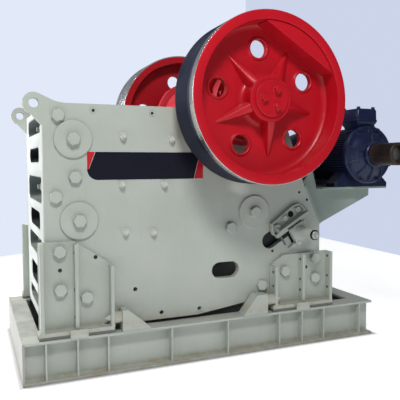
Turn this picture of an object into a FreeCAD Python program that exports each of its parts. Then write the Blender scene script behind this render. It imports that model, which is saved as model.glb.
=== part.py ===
"""Jaw crusher on its welded base frame, with its drive motor: a parametric FreeCAD document.

Millimetres, +Z up.  The origin is on the floor under the middle of the machine, +X runs
from the feed end to the motor end, and the near side is -Y.  Heights of everything that
stands on the base frame are measured from the deck, the top of the rubber pads.
"""
import FreeCAD
import Part
import Sketcher
import os
import re

from FreeCAD import Vector

SIZES = {
    # base frame
    "base_front": (1772, "front end of the base frame, ahead of the origin"),
    "base_back": (1508, "back end of the base frame, behind the origin"),
    "base_overhang": (135, "outer face of a side plate to the outer edge of a long beam"),
    "base_height": (330, "height of the base beams"),
    "beam_flange": (170, "flange width of the long and rear beams"),
    "beam_flange_thick": (20, "flange thickness"),
    "beam_web_thick": (16, "web thickness"),
    "front_channel": (150, "flange width of the front cross member"),
    "front_plate": (18, "end plate across the front of the base frame"),
    "stiffener_thick": (14, "web stiffeners of the long beams"),
    "pad_thick": (25, "rubber pads under the feet"),
    # side plates and castings
    "frame_front": (1580, "front edge of the side plates, ahead of the origin"),
    "frame_back": (979, "back edge of the side plates"),
    "plate_lift": (5, "deck to the lower edge of the side plates"),
    "plate_height": (1804, "height of the side plates"),
    "plate_inner": (612, "middle plane to the inner face of a side plate"),
    "plate_thick": (65, "thickness of a side plate"),
    "tail_lift": (67, "deck to the lower edge of the plates' back part"),
    "tail_height": (747, "deck to the corner where the back edge leans forward"),
    "shoulder_x": (806, "upper end of the leaning back edge"),
    "shoulder_height": (1111, "upper end of the leaning back edge, above the deck"),
    "crown_x": (560, "back end of the plates' top edge"),
    "lug_reach": (60, "lifting lug centre ahead of the plates' front edge"),
    "lug_root": (60, "lifting lug's root behind the plates' front edge"),
    "lug_depth": (180, "lifting lug's root below the plates' top edge"),
    "lug_radius": (82, "outer radius of a lifting lug"),
    "lug_hole": (37, "radius of the lug's eye"),
    "front_depth": (300, "depth of the ribbed front casting"),
    "front_recess": (190, "depth of the windows in the front casting"),
    "hand_hole_x": (-23, "middle of the hand hole"),
    "hand_hole_height": (380, "middle of the hand hole above the deck"),
    "hand_hole_length": (267, "length of the round-ended hand hole"),
    "hand_hole_radius": (72, "radius of its ends"),
    "boss_radius": (150, "tie boss radius"),
    "boss_thick": (20, "tie boss thickness"),
    # shaft, housings and flywheels
    "shaft_x": (148, "shaft axis behind the origin"),
    "shaft_height": (1855, "shaft axis above the deck"),
    "shaft_radius": (115, "main journal radius"),
    "journal_step": (19, "eccentric journal's least step above the main shaft"),
    "throw": (16, "eccentricity"),
    "crank_angle": (239, "direction of the eccentric at rest, degrees from +X towards +Z"),
    "running_gap": (0.05, "radial running clearance of the journals"),
    "housing_radius": (365, "bearing housing radius in the side plate notch"),
    "housing_cap_radius": (325, "radius of the housing outside the side plate"),
    "housing_width": (214, "width of a bearing housing"),
    "housing_fit": (0.3, "gap round the housing in its notch"),
    "wheel_radius": (700, "flywheel outside radius"),
    "wheel_gap": (159, "outer face of a side plate to the rim's inner face"),
    "wheel_width": (404, "rim width"),
    "rim_thick": (80, "rim thickness"),
    "web_inset": (190, "rim's outer face to the web"),
    "web_thick": (40, "web thickness"),
    "hub_radius": (185, "flywheel hub radius"),
    "hub_inset": (50, "rim's outer face to the hub's face"),
    "hub_back_inset": (20, "rim's inner face to the hub's back face"),
    "cap_radius": (150, "shaft end cap radius"),
    "eye_radius": (75, "round openings in the web"),
    "eye_lip": (20, "width of the raised lip round each opening"),
    "eye_lip_height": (12, "height of that lip"),
    "eye_circle": (423, "radius of the circle of openings"),
    "eye_angle": (96.3, "angle of the first opening, degrees"),
    "rib_angle": (132.3, "angle of the first rib, degrees"),
    "rib_tip": (480, "radius reached by the ribs"),
    "rib_height": (130, "height of a rib at the hub"),
    "rib_width": (90, "width of a rib at the hub"),
    "spokes": (5, "number of openings, and of ribs"),
    "weight_angle": (59, "direction of the counterweight, degrees"),
    "weight_half_angle": (36.5, "half the angle that the counterweight spans"),
    "weight_inset": (14, "rim's outer face to the counterweight's face"),
    # crushing chamber
    "cheek_thick": (37, "thickness of the side liners"),
    "side_gap": (5, "liner to the jaws, each side"),
    "die_top": (1755, "top of the dies above the deck"),
    "die_bottom": (165, "bottom of the fixed die above the deck"),
    "fixed_die_thick": (90, "fixed die at its top"),
    "fixed_die_toe": (130, "fixed die at its bottom"),
    "swing_die_thick": (90, "swing die thickness"),
    "gape": (770, "feed opening between the dies at the top"),
    "setting": (130, "discharge opening between the dies at the bottom"),
    "swing_toe": (110, "bottom of the swing jaw above the deck"),
    "barrel_radius": (310, "swing jaw head radius"),
    "barrel_inset": (14, "side of the swing die to the side of the swing jaw"),
    # toggle, wedge and back casting; measured along the toggle from the swing jaw's seat
    "toggle_seat_x": (628, "seat on the swing jaw, ahead of the origin"),
    "toggle_seat_height": (200, "seat on the swing jaw above the deck"),
    "toggle_angle": (19, "slope of the toggle plate, degrees"),
    "toggle_gap": (30, "free gap at the swing jaw's seat"),
    "toggle_reach": (1010, "seat to seat length"),
    "toggle_thick": (60, "toggle plate thickness"),
    "toggle_half": (480, "half the width of the toggle plate"),
    "block_thick": (170, "toggle block along the toggle"),
    "block_half": (110, "half the depth of the toggle block"),
    "block_side_gap": (10, "toggle block to the side plates"),
    "wedge_thick": (150, "adjusting wedge along the toggle"),
    "wedge_gap": (40, "gap between the two wedges"),
    "back_casting_low": (290, "back casting below the toggle line"),
    "back_casting_high": (330, "back casting above the toggle line"),
    # feet
    "foot_plate_thick": (28, "foot back plates and ribs"),
    "foot_depth": (118, "outer face of a side plate to the outer edge of the feet"),
    "foot_flange_thick": (30, "foot flange thickness"),
    "front_foot_front": (1645, "front foot flange, ahead of the origin"),
    "front_foot_back": (1060, "front foot flange, ahead of the origin"),
    "front_foot_height": (720, "top of the front foot above the deck"),
    "front_foot_low": (513, "top of the front foot's back rib above the deck"),
    "rear_foot_front": (404, "rear foot flange behind the origin"),
    "rear_foot_back": (1052, "rear foot flange behind the origin"),
    "rear_foot_height": (490, "top of the rear foot above the deck"),
    "rear_foot_low": (390, "top of the rear foot's front rib above the deck"),
    "stopper_height": (175, "stopper above the base beam"),
    "stopper_depth": (120, "stopper across the beam"),
    "front_stopper_front": (1000, "face of the front stopper, ahead of the origin"),
    "rear_stopper_back": (338, "face of the rear stopper behind the origin"),
    "buffer_radius": (48, "rubber buffer radius"),
    "buffer_height": (112, "buffer axis above the base beam"),
    # adjusting gear on the side plates
    "guide_angle": (30, "slope of the wedge slot and its guides, degrees"),
    "slot_front": (365, "adjusting cylinder axis to the slot's front end, along the slope"),
    "slot_back": (60, "adjusting cylinder axis to the slot's back end, along the slope"),
    "slot_low": (12, "adjusting cylinder axis to the slot's lower edge, across the slope"),
    "slot_width": (148, "width of the wedge slot"),
    "guide_thick": (20, "guide plates on the side plate"),
    "shelf_depth": (88, "upper guide's shelf out of the side plate"),
    "shelf_half": (155, "half the length of that shelf"),
    "shelf_low": (112, "adjusting cylinder axis to the shelf, across the slope"),
    "shelf_thick": (25, "thickness of that shelf"),
    "adjuster_x": (720, "adjusting cylinder axis behind the origin"),
    "adjuster_height": (688, "adjusting cylinder axis above the deck"),
    "adjuster_flange": (175, "side of the square flange"),
    "adjuster_flange_thick": (18, "thickness of the square flange"),
    "adjuster_block": (150, "side of the block behind the flange"),
    "adjuster_block_depth": (43, "depth of that block"),
    "adjuster_radius": (46, "adjusting cylinder radius"),
    "adjuster_root": (62, "cylinder radius where it leaves the flange"),
    "adjuster_reach": (323, "side plate to the end of the cylinder"),
    "adjuster_cap": (24, "length of the end cap"),
    # motor and its bracket
    "motor_x": (1455, "motor axis behind the origin"),
    "motor_height": (315, "motor axis above its feet"),
    "motor_radius": (262, "motor barrel radius under the fins"),
    "motor_front": (770, "middle plane to the barrel's driving end"),
    "motor_length": (1080, "barrel length"),
    "shield_radius": (280, "end shield rim radius"),
    "shield_rim": (39, "end shield rim length"),
    "shield_dome": (61, "end shield dome length"),
    "shield_cap": (57, "bearing cap length"),
    "shield_cap_radius": (122, "bearing cap radius"),
    "motor_shaft_radius": (60, "motor shaft radius"),
    "motor_shaft_gap": (10, "shaft end to the barrel"),
    "sleeve_radius": (104, "drive sleeve radius"),
    "sleeve_length": (300, "drive sleeve length"),
    "sleeve_gap": (5, "bearing cap to the drive sleeve"),
    "sleeve_mouth": (76, "radius of the sleeve's open mouth"),
    "sleeve_mouth_depth": (60, "depth of that mouth"),
    "cowl_radius": (268, "fan cowl radius"),
    "cowl_length": (165, "fan cowl length"),
    "motor_foot_half": (317, "motor axis to the outer edge of the feet"),
    "motor_foot_length": (140, "each foot along the motor"),
    "motor_foot_thick": (38, "foot thickness"),
    "motor_foot_rise": (110, "foot web height"),
    "motor_foot_front": (700, "middle plane to the driving end foot"),
    "motor_foot_pitch": (800, "driving end foot to the other end foot"),
    "terminal_front": (790, "middle plane to the terminal box"),
    "terminal_length": (290, "terminal box along the motor"),
    "terminal_width": (245, "terminal box across the motor"),
    "terminal_top": (449, "motor axis to the top of the terminal box"),
    "bracket_height": (1080, "underside of the motor shelf above the deck"),
    "bracket_thick": (20, "motor shelf thickness"),
    "bracket_front": (1000, "front edge of the motor shelf behind the origin"),
    "bracket_overhang": (23, "outer face of a side plate to the end of the motor shelf"),
    "gusset_thick": (25, "motor shelf gussets"),
    "gusset_inset": (77, "outer face of a side plate to a gusset's outer face"),
    "bracket_rise": (151, "gussets above the motor shelf"),
}

SIDES = (("near", -1), ("far", 1))
STIFFENERS = (-1598, -1357, -1115, -578, -58, 463, 705, 946, 1362)
WORD = re.compile(r"[A-Za-z_]\w*")

doc = FreeCAD.newDocument("JawCrusher")
sheet = doc.addObject("Spreadsheet::Sheet", "Sizes")
for row, (alias, (value, note)) in enumerate(SIZES.items(), start=1):
    sheet.set(f"A{row}", alias)
    sheet.set(f"B{row}", str(value))
    sheet.set(f"C{row}", note)
    sheet.setAlias(f"B{row}", alias)
doc.recompute()

sub_parts = []

# Heights and faces that several pieces share, as formulas on the sheet's cells.
DECK = "(base_height + pad_thick)"
PLATE_BOTTOM = f"({DECK} + plate_lift)"
PLATE_TOP = f"({PLATE_BOTTOM} + plate_height)"
PLATE_OUTER = "(plate_inner + plate_thick)"
LUG_ROOT, LUG_FOOT = "(lug_root - frame_front)", f"({PLATE_TOP} - lug_depth)"
BASE_HALF = f"({PLATE_OUTER} + base_overhang)"
FOOT_OUT = f"({PLATE_OUTER} + foot_depth)"
SHAFT_Z = f"({DECK} + shaft_height)"
JOURNAL_RADIUS = "(shaft_radius + throw + journal_step)"
WHEEL_INNER = f"({PLATE_OUTER} + wheel_gap)"
BRACKET_HALF = f"({PLATE_OUTER} + bracket_overhang)"
GUSSET_OUT = f"({PLATE_OUTER} - gusset_inset)"
JAW_HALF = "(plate_inner - cheek_thick - side_gap)"
JAW_BODY_HALF = f"({JAW_HALF} - barrel_inset)"
WHEEL_OUTER = f"({WHEEL_INNER} + wheel_width)"
CASTING_BACK = "(front_depth - frame_front)"
MOTOR_FOOT_Z = f"({DECK} + bracket_height + bracket_thick)"
MOTOR_Z = f"({MOTOR_FOOT_Z} + motor_height)"
BACK_CASTING_START = "(toggle_reach + block_thick + wedge_thick)"
TOGGLE = ("-toggle_seat_x", f"({DECK} + toggle_seat_height)", "toggle_angle")
GUIDE = ("adjuster_x", f"({DECK} + adjuster_height)", "guide_angle")


# ---------------------------------------------------------------- helpers
def sized(formula):
    """Point each size named in a formula at its cell of the sheet."""
    def cell(match):
        word = match.group()
        return f"Sizes.{word}" if word in SIZES else word
    return WORD.sub(cell, str(formula))


def bind(thing, formulas):
    """Bind each property of a feature to its formula."""
    for prop, formula in formulas.items():
        thing.setExpression(prop, sized(formula))


def value_of(formula):
    """The number that a formula gives now."""
    return float(sheet.evalExpression(sized(formula)))


def finished(thing, label):
    """Name a finished sub-part and list it for export."""
    thing.Label = label
    sub_parts.append(thing)
    return thing


def span(sign, inner, depth):
    """Low Y of a piece that runs from |y| = inner outwards by depth, on one side."""
    return f"-({inner}) - ({depth})" if sign < 0 else f"{inner}"


def box(x, y, z, length, width, height):
    """A block from its low corner."""
    solid = doc.addObject("Part::Box", "Block")
    bind(solid, {"Placement.Base.x": x, "Placement.Base.y": y, "Placement.Base.z": z,
                 "Length": length, "Width": width, "Height": height})
    return solid


def sloped_point(slope, along, across):
    """X and Z of a point measured along and across a slope: (x, z, angle) of its start."""
    x, z, angle = slope
    return (f"{x} + ({along}) * cos({angle}) - ({across}) * sin({angle})",
            f"{z} + ({along}) * sin({angle}) + ({across}) * cos({angle})")


def sloped_box(slope, start, length, low, height, y, width):
    """A block set square to a slope, from its low corner start along it and low across it."""
    x, z = sloped_point(slope, start, low)
    solid = box(x, y, z, length, width, height)
    solid.Placement.Rotation = FreeCAD.Rotation(Vector(0, -1, 0), value_of(slope[2]))
    bind(solid, {"Placement.Rotation.Angle": slope[2]})
    return solid


def rod(axis, x, y, z, radius, length, end_radius=None):
    """A cylinder, or a cone, from its low end along +X or +Y."""
    kind = "Part::Cylinder" if end_radius is None else "Part::Cone"
    solid = doc.addObject(kind, "Rod")
    turn = (Vector(0, 1, 0), 90) if axis == "X" else (Vector(1, 0, 0), -90)
    solid.Placement.Rotation = FreeCAD.Rotation(*turn)
    radii = {"Radius": radius} if end_radius is None else {"Radius1": radius, "Radius2": end_radius}
    bind(solid, {"Placement.Base.x": x, "Placement.Base.y": y, "Placement.Base.z": z,
                 "Height": length, **radii})
    return solid


def joined(*solids):
    """One shape from several; solids that don't touch stay apart in it."""
    union = doc.addObject("Part::MultiFuse", "Joined")
    union.Shapes = list(solids)
    return union


def without(solid, *tools):
    """A solid less the tools' shapes."""
    difference = doc.addObject("Part::Cut", "Cut")
    difference.Base = solid
    difference.Tool = joined(*tools) if len(tools) > 1 else tools[0]
    return difference


def new_body(name):
    """An empty PartDesign body."""
    return doc.addObject("PartDesign::Body", name)


def sketch_on(body, plane, offset):
    """An empty sketch on one of the body's own origin planes, moved along its normal."""
    sketch = body.newObject("Sketcher::SketchObject", "Outline")
    features = {feature.Role: feature for feature in body.Origin.OriginFeatures}
    sketch.AttachmentSupport = (features[plane], [""])
    sketch.MapMode = "FlatFace"
    bind(sketch, {"AttachmentOffset.Base.z": offset})
    return sketch


def draw_polygon(sketch, points):
    """A closed outline; each corner is held at its own two bound distances from the origin."""
    corners = [Vector(value_of(x), value_of(y), 0) for x, y in points]
    first = sketch.GeometryCount
    count = len(corners)
    for i, corner in enumerate(corners):
        sketch.addGeometry(Part.LineSegment(corner, corners[(i + 1) % count]))
    for i, (x, y) in enumerate(points):
        here, after = first + i, first + (i + 1) % count
        sketch.addConstraint(Sketcher.Constraint("Coincident", here, 2, after, 1))
        hold(sketch, "DistanceX", here, 1, x, corners[i].x)
        hold(sketch, "DistanceY", here, 1, y, corners[i].y)


def draw_circle(sketch, x, y, radius):
    """A circle with bound centre and radius."""
    centre = Vector(value_of(x), value_of(y), 0)
    ring = sketch.addGeometry(Part.Circle(centre, Vector(0, 0, 1), value_of(radius)))
    hold(sketch, "DistanceX", ring, 3, x, centre.x)
    hold(sketch, "DistanceY", ring, 3, y, centre.y)
    index = sketch.addConstraint(Sketcher.Constraint("Radius", ring, value_of(radius)))
    bind(sketch, {f"Constraints[{index}]": radius})


def hold(sketch, kind, geometry, point, formula, value):
    """Hold a point at a bound distance from the sketch's origin."""
    constraint = Sketcher.Constraint(kind, -1, 1, geometry, point, value)
    index = sketch.addConstraint(constraint)
    bind(sketch, {f"Constraints[{index}]": formula})


def pad(body, sketch, length):
    """Raise a sketch along its normal."""
    feature = body.newObject("PartDesign::Pad", "Pad")
    feature.Profile = sketch
    bind(feature, {"Length": length})
    return feature


def pocket_through(body, sketch):
    """Cut a sketch right through, both ways."""
    feature = body.newObject("PartDesign::Pocket", "Pocket")
    feature.Profile = sketch
    feature.Type = "ThroughAll"
    feature.SideType = "Symmetric"
    return feature


def profile_body(name, plane, offset, length, points):
    """A body padded from one outline."""
    body = new_body(name)
    sketch = sketch_on(body, plane, offset)
    draw_polygon(sketch, points)
    pad(body, sketch, length)
    return body


def upright(sign, inner, depth):
    """Offset along -Y of an XZ sketch, so that its pad runs from |y| = inner by depth."""
    return inner if sign < 0 else f"-({inner}) - ({depth})"


def side_outline(name, sign, inner, depth, points):
    """A plate parallel to the side plates, from an XZ outline."""
    return profile_body(name, "XZ_Plane", upright(sign, inner, depth), depth, points)


def middle_outline(name, half_width, points):
    """A piece that spans the middle plane, from an XZ outline."""
    return profile_body(name, "XZ_Plane", f"-({half_width})", f"2 * ({half_width})", points)


# ---------------------------------------------------------------- base frame
def base_beam(side, sign):
    """Long I-beam with web stiffeners, from the front end plate to the back end."""
    top, flange = "base_height", "beam_flange_thick"
    outer, inner = BASE_HALF, f"({BASE_HALF} - beam_flange)"
    web_out = f"({BASE_HALF} - beam_flange / 2 + beam_web_thick / 2)"
    web_in = f"({BASE_HALF} - beam_flange / 2 - beam_web_thick / 2)"
    profile = [(inner, 0), (outer, 0), (outer, flange), (web_out, flange),
               (web_out, f"{top} - {flange}"), (outer, f"{top} - {flange}"), (outer, top), (inner, top),
               (inner, f"{top} - {flange}"), (web_in, f"{top} - {flange}"), (web_in, flange),
               (inner, flange)]
    points = [(f"{sign} * {y}", z) for y, z in profile]
    beam = profile_body(f"Beam_{side}", "YZ_Plane", "front_plate - base_front",
                        "base_back + base_front - front_plate", points)
    leaf = "(beam_flange / 2 - beam_web_thick / 2)"
    stiffeners = [box(f"{x} - stiffener_thick / 2", span(sign, start, leaf), flange,
                      "stiffener_thick", leaf, f"{top} - 2 * {flange}")
                  for x in STIFFENERS for start in (web_out, inner)]
    finished(joined(beam, *stiffeners), f"base_beam_{side}")


def base_cross_members():
    """Front channel with its full-width end plate, and a rear I-beam between the long beams."""
    flange, height, half = "beam_flange_thick", "base_height", f"({BASE_HALF} - beam_flange)"
    tip, web_face = "front_channel - base_front", "front_plate - base_front"
    front = [("-base_front + 1", 0), (tip, 0), (tip, flange), (web_face, flange),
             (web_face, f"{height} - {flange}"), (tip, f"{height} - {flange}"), (tip, height),
             ("-base_front + 1", height)]
    channel = middle_outline("FrontCross", half, front)
    end_plate = box("-base_front", f"-{BASE_HALF}", 0, "front_plate", f"2 * {BASE_HALF}", height)
    finished(joined(channel, end_plate), "base_front_channel")
    back, web = "base_back", "beam_web_thick / 2"
    centre = "(base_back - beam_flange / 2)"
    rear = [(f"{back} - beam_flange", 0), (back, 0), (back, flange), (f"{centre} + {web}", flange),
            (f"{centre} + {web}", f"{height} - {flange}"), (back, f"{height} - {flange}"), (back, height),
            (f"{back} - beam_flange", height), (f"{back} - beam_flange", f"{height} - {flange}"),
            (f"{centre} - {web}", f"{height} - {flange}"), (f"{centre} - {web}", flange),
            (f"{back} - beam_flange", flange)]
    finished(middle_outline("RearCross", half, rear), "base_rear_beam")


# ---------------------------------------------------------------- feet
def foot_ribs(places, sign):
    """Upright ribs of a foot: each from (x of its middle, height above the deck)."""
    depth = f"({FOOT_OUT} - {PLATE_OUTER} - foot_plate_thick)"
    return [box(f"{x} - foot_plate_thick / 2", span(sign, f"{PLATE_OUTER} + foot_plate_thick", depth),
                DECK, "foot_plate_thick", depth, height)
            for x, height in places]


def foot(name, sign, outline, places, low_x, high_x):
    """Back plate on the side plate, ribs standing out from it and a flange on the pad."""
    plate = side_outline(name, sign, PLATE_OUTER, "foot_plate_thick", outline)
    depth = f"({FOOT_OUT} - {PLATE_OUTER})"
    flange = box(low_x, span(sign, PLATE_OUTER, depth), DECK, f"{high_x} - ({low_x})", depth,
                 "foot_flange_thick")
    return joined(plate, flange, *foot_ribs(places, sign))


def feet(side, sign):
    """Front and rear foot of one side."""
    half = "foot_plate_thick / 2"
    front_x, middle_x, back_x = ("(28 - front_foot_front)", "(291 - front_foot_front)",
                                 f"(-{half} - front_foot_back + 1)")
    outline = [(f"{front_x} - {half}", DECK), (f"{back_x} + {half}", DECK),
               (f"{back_x} + {half}", f"{DECK} + front_foot_low"),
               (middle_x, f"{DECK} + front_foot_height"),
               (f"{front_x} - {half}", f"{DECK} + front_foot_height")]
    ribs = [(front_x, "front_foot_height"), (middle_x, "front_foot_height - 14"),
            (back_x, "front_foot_low")]
    finished(foot(f"FrontFoot_{side}", sign, outline, ribs, "-front_foot_front", "-front_foot_back"),
             f"foot_front_{side}")
    front_x, middle_x, back_x = "(rear_foot_front + 36)", "(rear_foot_front + 326)", "(rear_foot_back - 18)"
    outline = [(f"{front_x} - {half}", DECK), (f"{back_x} + {half}", DECK),
               (f"{back_x} + {half}", f"{DECK} + rear_foot_height"),
               (f"{front_x} + 120", f"{DECK} + rear_foot_height - 13"),
               (f"{front_x} - {half}", f"{DECK} + rear_foot_low")]
    ribs = [(front_x, "rear_foot_low"), (middle_x, "rear_foot_height - 8"), (back_x, "rear_foot_height")]
    finished(foot(f"RearFoot_{side}", sign, outline, ribs, "rear_foot_front", "rear_foot_back"),
             f"foot_rear_{side}")


def rubber_pads():
    """One pad under each foot."""
    depth = f"({FOOT_OUT} - {PLATE_OUTER})"
    pads = [box(low, span(sign, PLATE_OUTER, depth), "base_height", f"{high} - ({low})", depth, "pad_thick")
            for _, sign in SIDES
            for low, high in (("-front_foot_front", "-front_foot_back"),
                              ("rear_foot_front", "rear_foot_back"))]
    finished(joined(*pads), "foot_pads")


def stoppers(side, sign):
    """Two welded stops on a long beam, one for each foot of its side."""
    top = "(base_height + stopper_height)"
    face, inner = "front_stopper_front", f"({BASE_HALF} - stopper_depth)"
    front = [(f"-{face}", "base_height"), (f"250 - {face}", "base_height"), (f"50 - {face}", top),
             (f"-{face}", top)]
    face = "rear_stopper_back"
    rear = [(f"{face} - 248", "base_height"), (face, "base_height"), (face, top), (f"{face} - 108", top)]
    pieces = [side_outline(f"Stopper_{side}", sign, inner, "stopper_depth", points) for points in (front, rear)]
    finished(joined(*pieces), f"stoppers_{side}")


def buffers():
    """Rubber buffers between the stops and the feet."""
    height = "base_height + buffer_height"
    half = "foot_plate_thick / 2"
    pieces = []
    for _, sign in SIDES:
        y = f"{sign} * ({BASE_HALF} - stopper_depth / 2)"
        front_low = "(1 - front_foot_back)"
        pieces.append(rod("X", front_low, y, height, "buffer_radius",
                          f"-front_stopper_front - {front_low}"))
        pieces.append(rod("X", "rear_stopper_back", y, height, "buffer_radius",
                          f"rear_foot_front + 36 - {half} - rear_stopper_back"))
    finished(joined(*pieces), "stop_buffers")


# ---------------------------------------------------------------- side plates and castings
def side_plate(side, sign):
    """Thick side plate with its bearing notch, hand hole and wedge slot, in two halves."""
    offset = upright(sign, "plate_inner", "plate_thick")
    outline = [("-frame_front", PLATE_BOTTOM), ("-295", PLATE_BOTTOM), ("179", f"{DECK} + tail_lift"),
               ("frame_back", f"{DECK} + tail_lift"), ("frame_back", f"{DECK} + tail_height"),
               ("shoulder_x", f"{DECK} + shoulder_height"), ("crown_x", PLATE_TOP),
               (LUG_ROOT, PLATE_TOP), (LUG_ROOT, LUG_FOOT), ("-frame_front", LUG_FOOT)]
    body = profile_body(f"SidePlate_{side}", "XZ_Plane", offset, "plate_thick", outline)
    rounds = sketch_on(body, "XZ_Plane", offset)
    draw_circle(rounds, "shaft_x", SHAFT_Z, "housing_radius + housing_fit")
    for x, height, radius in ((-856, 282, 18), (-627, 60, 18), (-277, 58, 18)):
        draw_circle(rounds, x, f"{DECK} + {height}", radius)
    pocket_through(body, rounds)
    reach = "(hand_hole_length / 2 - hand_hole_radius)"
    low, high = "hand_hole_height - hand_hole_radius", "hand_hole_height + hand_hole_radius"
    hand_hole = [(f"hand_hole_x - {reach}", f"{DECK} + {low}"), (f"hand_hole_x + {reach}", f"{DECK} + {low}"),
                 (f"hand_hole_x + {reach}", f"{DECK} + {high}"), (f"hand_hole_x - {reach}", f"{DECK} + {high}")]
    slot_radius = "(slot_width / 2)"
    slot = [sloped_point(GUIDE, along, across)
            for along, across in ((f"{slot_radius} - slot_front", "slot_low"), ("slot_back", "slot_low"),
                                  ("slot_back", "slot_low + slot_width"),
                                  (f"{slot_radius} - slot_front", "slot_low + slot_width"))]
    slot_end = sloped_point(GUIDE, f"{slot_radius} - slot_front", f"slot_low + {slot_radius}")
    middle = f"{DECK} + hand_hole_height"
    for polygons, circles in (((hand_hole, slot), ()),
                              ((), ((f"hand_hole_x - {reach}", middle, "hand_hole_radius"),
                                    (*slot_end, slot_radius))),
                              ((), ((f"hand_hole_x + {reach}", middle, "hand_hole_radius"),))):
        opening = sketch_on(body, "XZ_Plane", offset)
        for points in polygons:
            draw_polygon(opening, points)
        for circle in circles:
            draw_circle(opening, *circle)
        pocket_through(body, opening)
    reach, low_y, height = "(frame_back + frame_front)", span(sign, "plate_inner", "plate_thick"), f"({PLATE_TOP})"
    behind = box("hand_hole_x", low_y, "0", reach, "plate_thick", height)
    ahead = box(f"hand_hole_x - {reach}", low_y, "0", reach, "plate_thick", height)
    finished(without(body, behind), f"side_plate_{side}")
    finished(without(body, ahead), f"side_plate_rear_{side}")


def lifting_lug(side, sign):
    """Lifting lug at the top front corner of a side plate, with its eye."""
    offset = upright(sign, "plate_inner", "plate_thick")
    lug_x, lug_z = "(-frame_front - lug_reach)", f"({PLATE_TOP} - 8)"
    body = profile_body(f"LiftingLug_{side}", "XZ_Plane", offset, "plate_thick",
                        [(f"{lug_x} - lug_radius * 0.96", f"{lug_z} - lug_radius * 0.28"),
                         ("-frame_front", LUG_FOOT), (LUG_ROOT, LUG_FOOT), (LUG_ROOT, PLATE_TOP),
                         (f"{lug_x} + lug_radius * 0.3", f"{lug_z} + lug_radius * 0.95")])
    head = sketch_on(body, "XZ_Plane", offset)
    draw_circle(head, lug_x, lug_z, "lug_radius")
    pad(body, head, "plate_thick")
    eye = sketch_on(body, "XZ_Plane", offset)
    draw_circle(eye, lug_x, lug_z, "lug_hole")
    pocket_through(body, eye)
    finished(body, f"lifting_lug_{side}")


def front_casting():
    """Ribbed front end between the side plates, with its rows of windows."""
    body = middle_outline("FrontCasting", "plate_inner",
                          [("-frame_front", PLATE_BOTTOM), (CASTING_BACK, PLATE_BOTTOM),
                           (CASTING_BACK, f"{PLATE_TOP} - 34"), ("-frame_front", f"{PLATE_TOP} - 34")])
    windows = sketch_on(body, "YZ_Plane", "front_recess - frame_front")
    rows = ((60, 190, 520), (262, 440, 400), (539, 706, 540), (777, 928, 400), (1006, 1225, 540),
            (1345, 1470, 400), (1586, 1740, 520))
    for low, high, half in rows:
        bottom, top = f"{DECK} + {low}", f"{DECK} + {high}"
        draw_polygon(windows, [(-half, bottom), (half, bottom), (half, top), (-half, top)])
    cut = body.newObject("PartDesign::Pocket", "Windows")
    cut.Profile = windows
    cut.Type = "ThroughAll"
    cut.Reversed = False
    finished(body, "front_casting")


def back_casting():
    """Back end between the side plates, square to the toggle at its front."""
    points = [sloped_point(TOGGLE, BACK_CASTING_START, "-back_casting_low"), ("frame_back", f"{DECK} + 250"),
              ("frame_back", f"{DECK} + tail_height"), ("shoulder_x", f"{DECK} + shoulder_height"),
              ("shoulder_x - 130", f"{DECK} + shoulder_height"),
              sloped_point(TOGGLE, BACK_CASTING_START, "back_casting_high")]
    finished(middle_outline("BackCasting", "plate_inner", points), "back_casting")


def bosses(side, sign):
    """Round tie bosses on the outside of a side plate."""
    pieces = [rod("Y", x, span(sign, PLATE_OUTER, "boss_thick"), f"{DECK} + {height}", "boss_radius",
                  "boss_thick")
              for x, height in ((-1350, 1527), (-1311, 879), (260, 891))]
    finished(joined(*pieces), f"tie_bosses_{side}")


# ---------------------------------------------------------------- crushing chamber and toggle
FIXED_TOP = f"({CASTING_BACK} + fixed_die_thick)"
FIXED_TOE = f"({CASTING_BACK} + fixed_die_toe)"
SWING_TOP = f"({FIXED_TOP} + gape + swing_die_thick)"
SWING_TOE = f"({FIXED_TOE} + setting + swing_die_thick)"


def dies():
    """Fixed die on the front casting, swing die on the swing jaw."""
    top, bottom, toe = f"{DECK} + die_top", f"{DECK} + die_bottom", f"{DECK} + swing_toe"
    fixed = [(CASTING_BACK, bottom), (FIXED_TOE, bottom), (FIXED_TOP, top), (CASTING_BACK, top)]
    finished(middle_outline("FixedDie", JAW_HALF, fixed), "fixed_jaw_die")
    swing = [(f"{SWING_TOE} - swing_die_thick", toe), (SWING_TOE, toe), (SWING_TOP, top),
             (f"{SWING_TOP} - swing_die_thick", top)]
    finished(middle_outline("SwingDie", JAW_HALF, swing), "swing_jaw_die")


def cheek(side, sign):
    """Side liner of the chamber."""
    top, bottom = f"{DECK} + die_top", f"{DECK} + die_bottom + 40"
    points = [(CASTING_BACK, bottom), (f"{SWING_TOE} + 60", bottom), (f"{SWING_TOP} + 20", top),
              (CASTING_BACK, top)]
    finished(side_outline(f"Cheek_{side}", sign, "plate_inner - cheek_thick", "cheek_thick", points),
             f"cheek_plate_{side}")


def eccentric_axis():
    """X and Z of the eccentric journal at rest."""
    return "shaft_x + throw * cos(crank_angle)", f"{SHAFT_Z} + throw * sin(crank_angle)"


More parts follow.
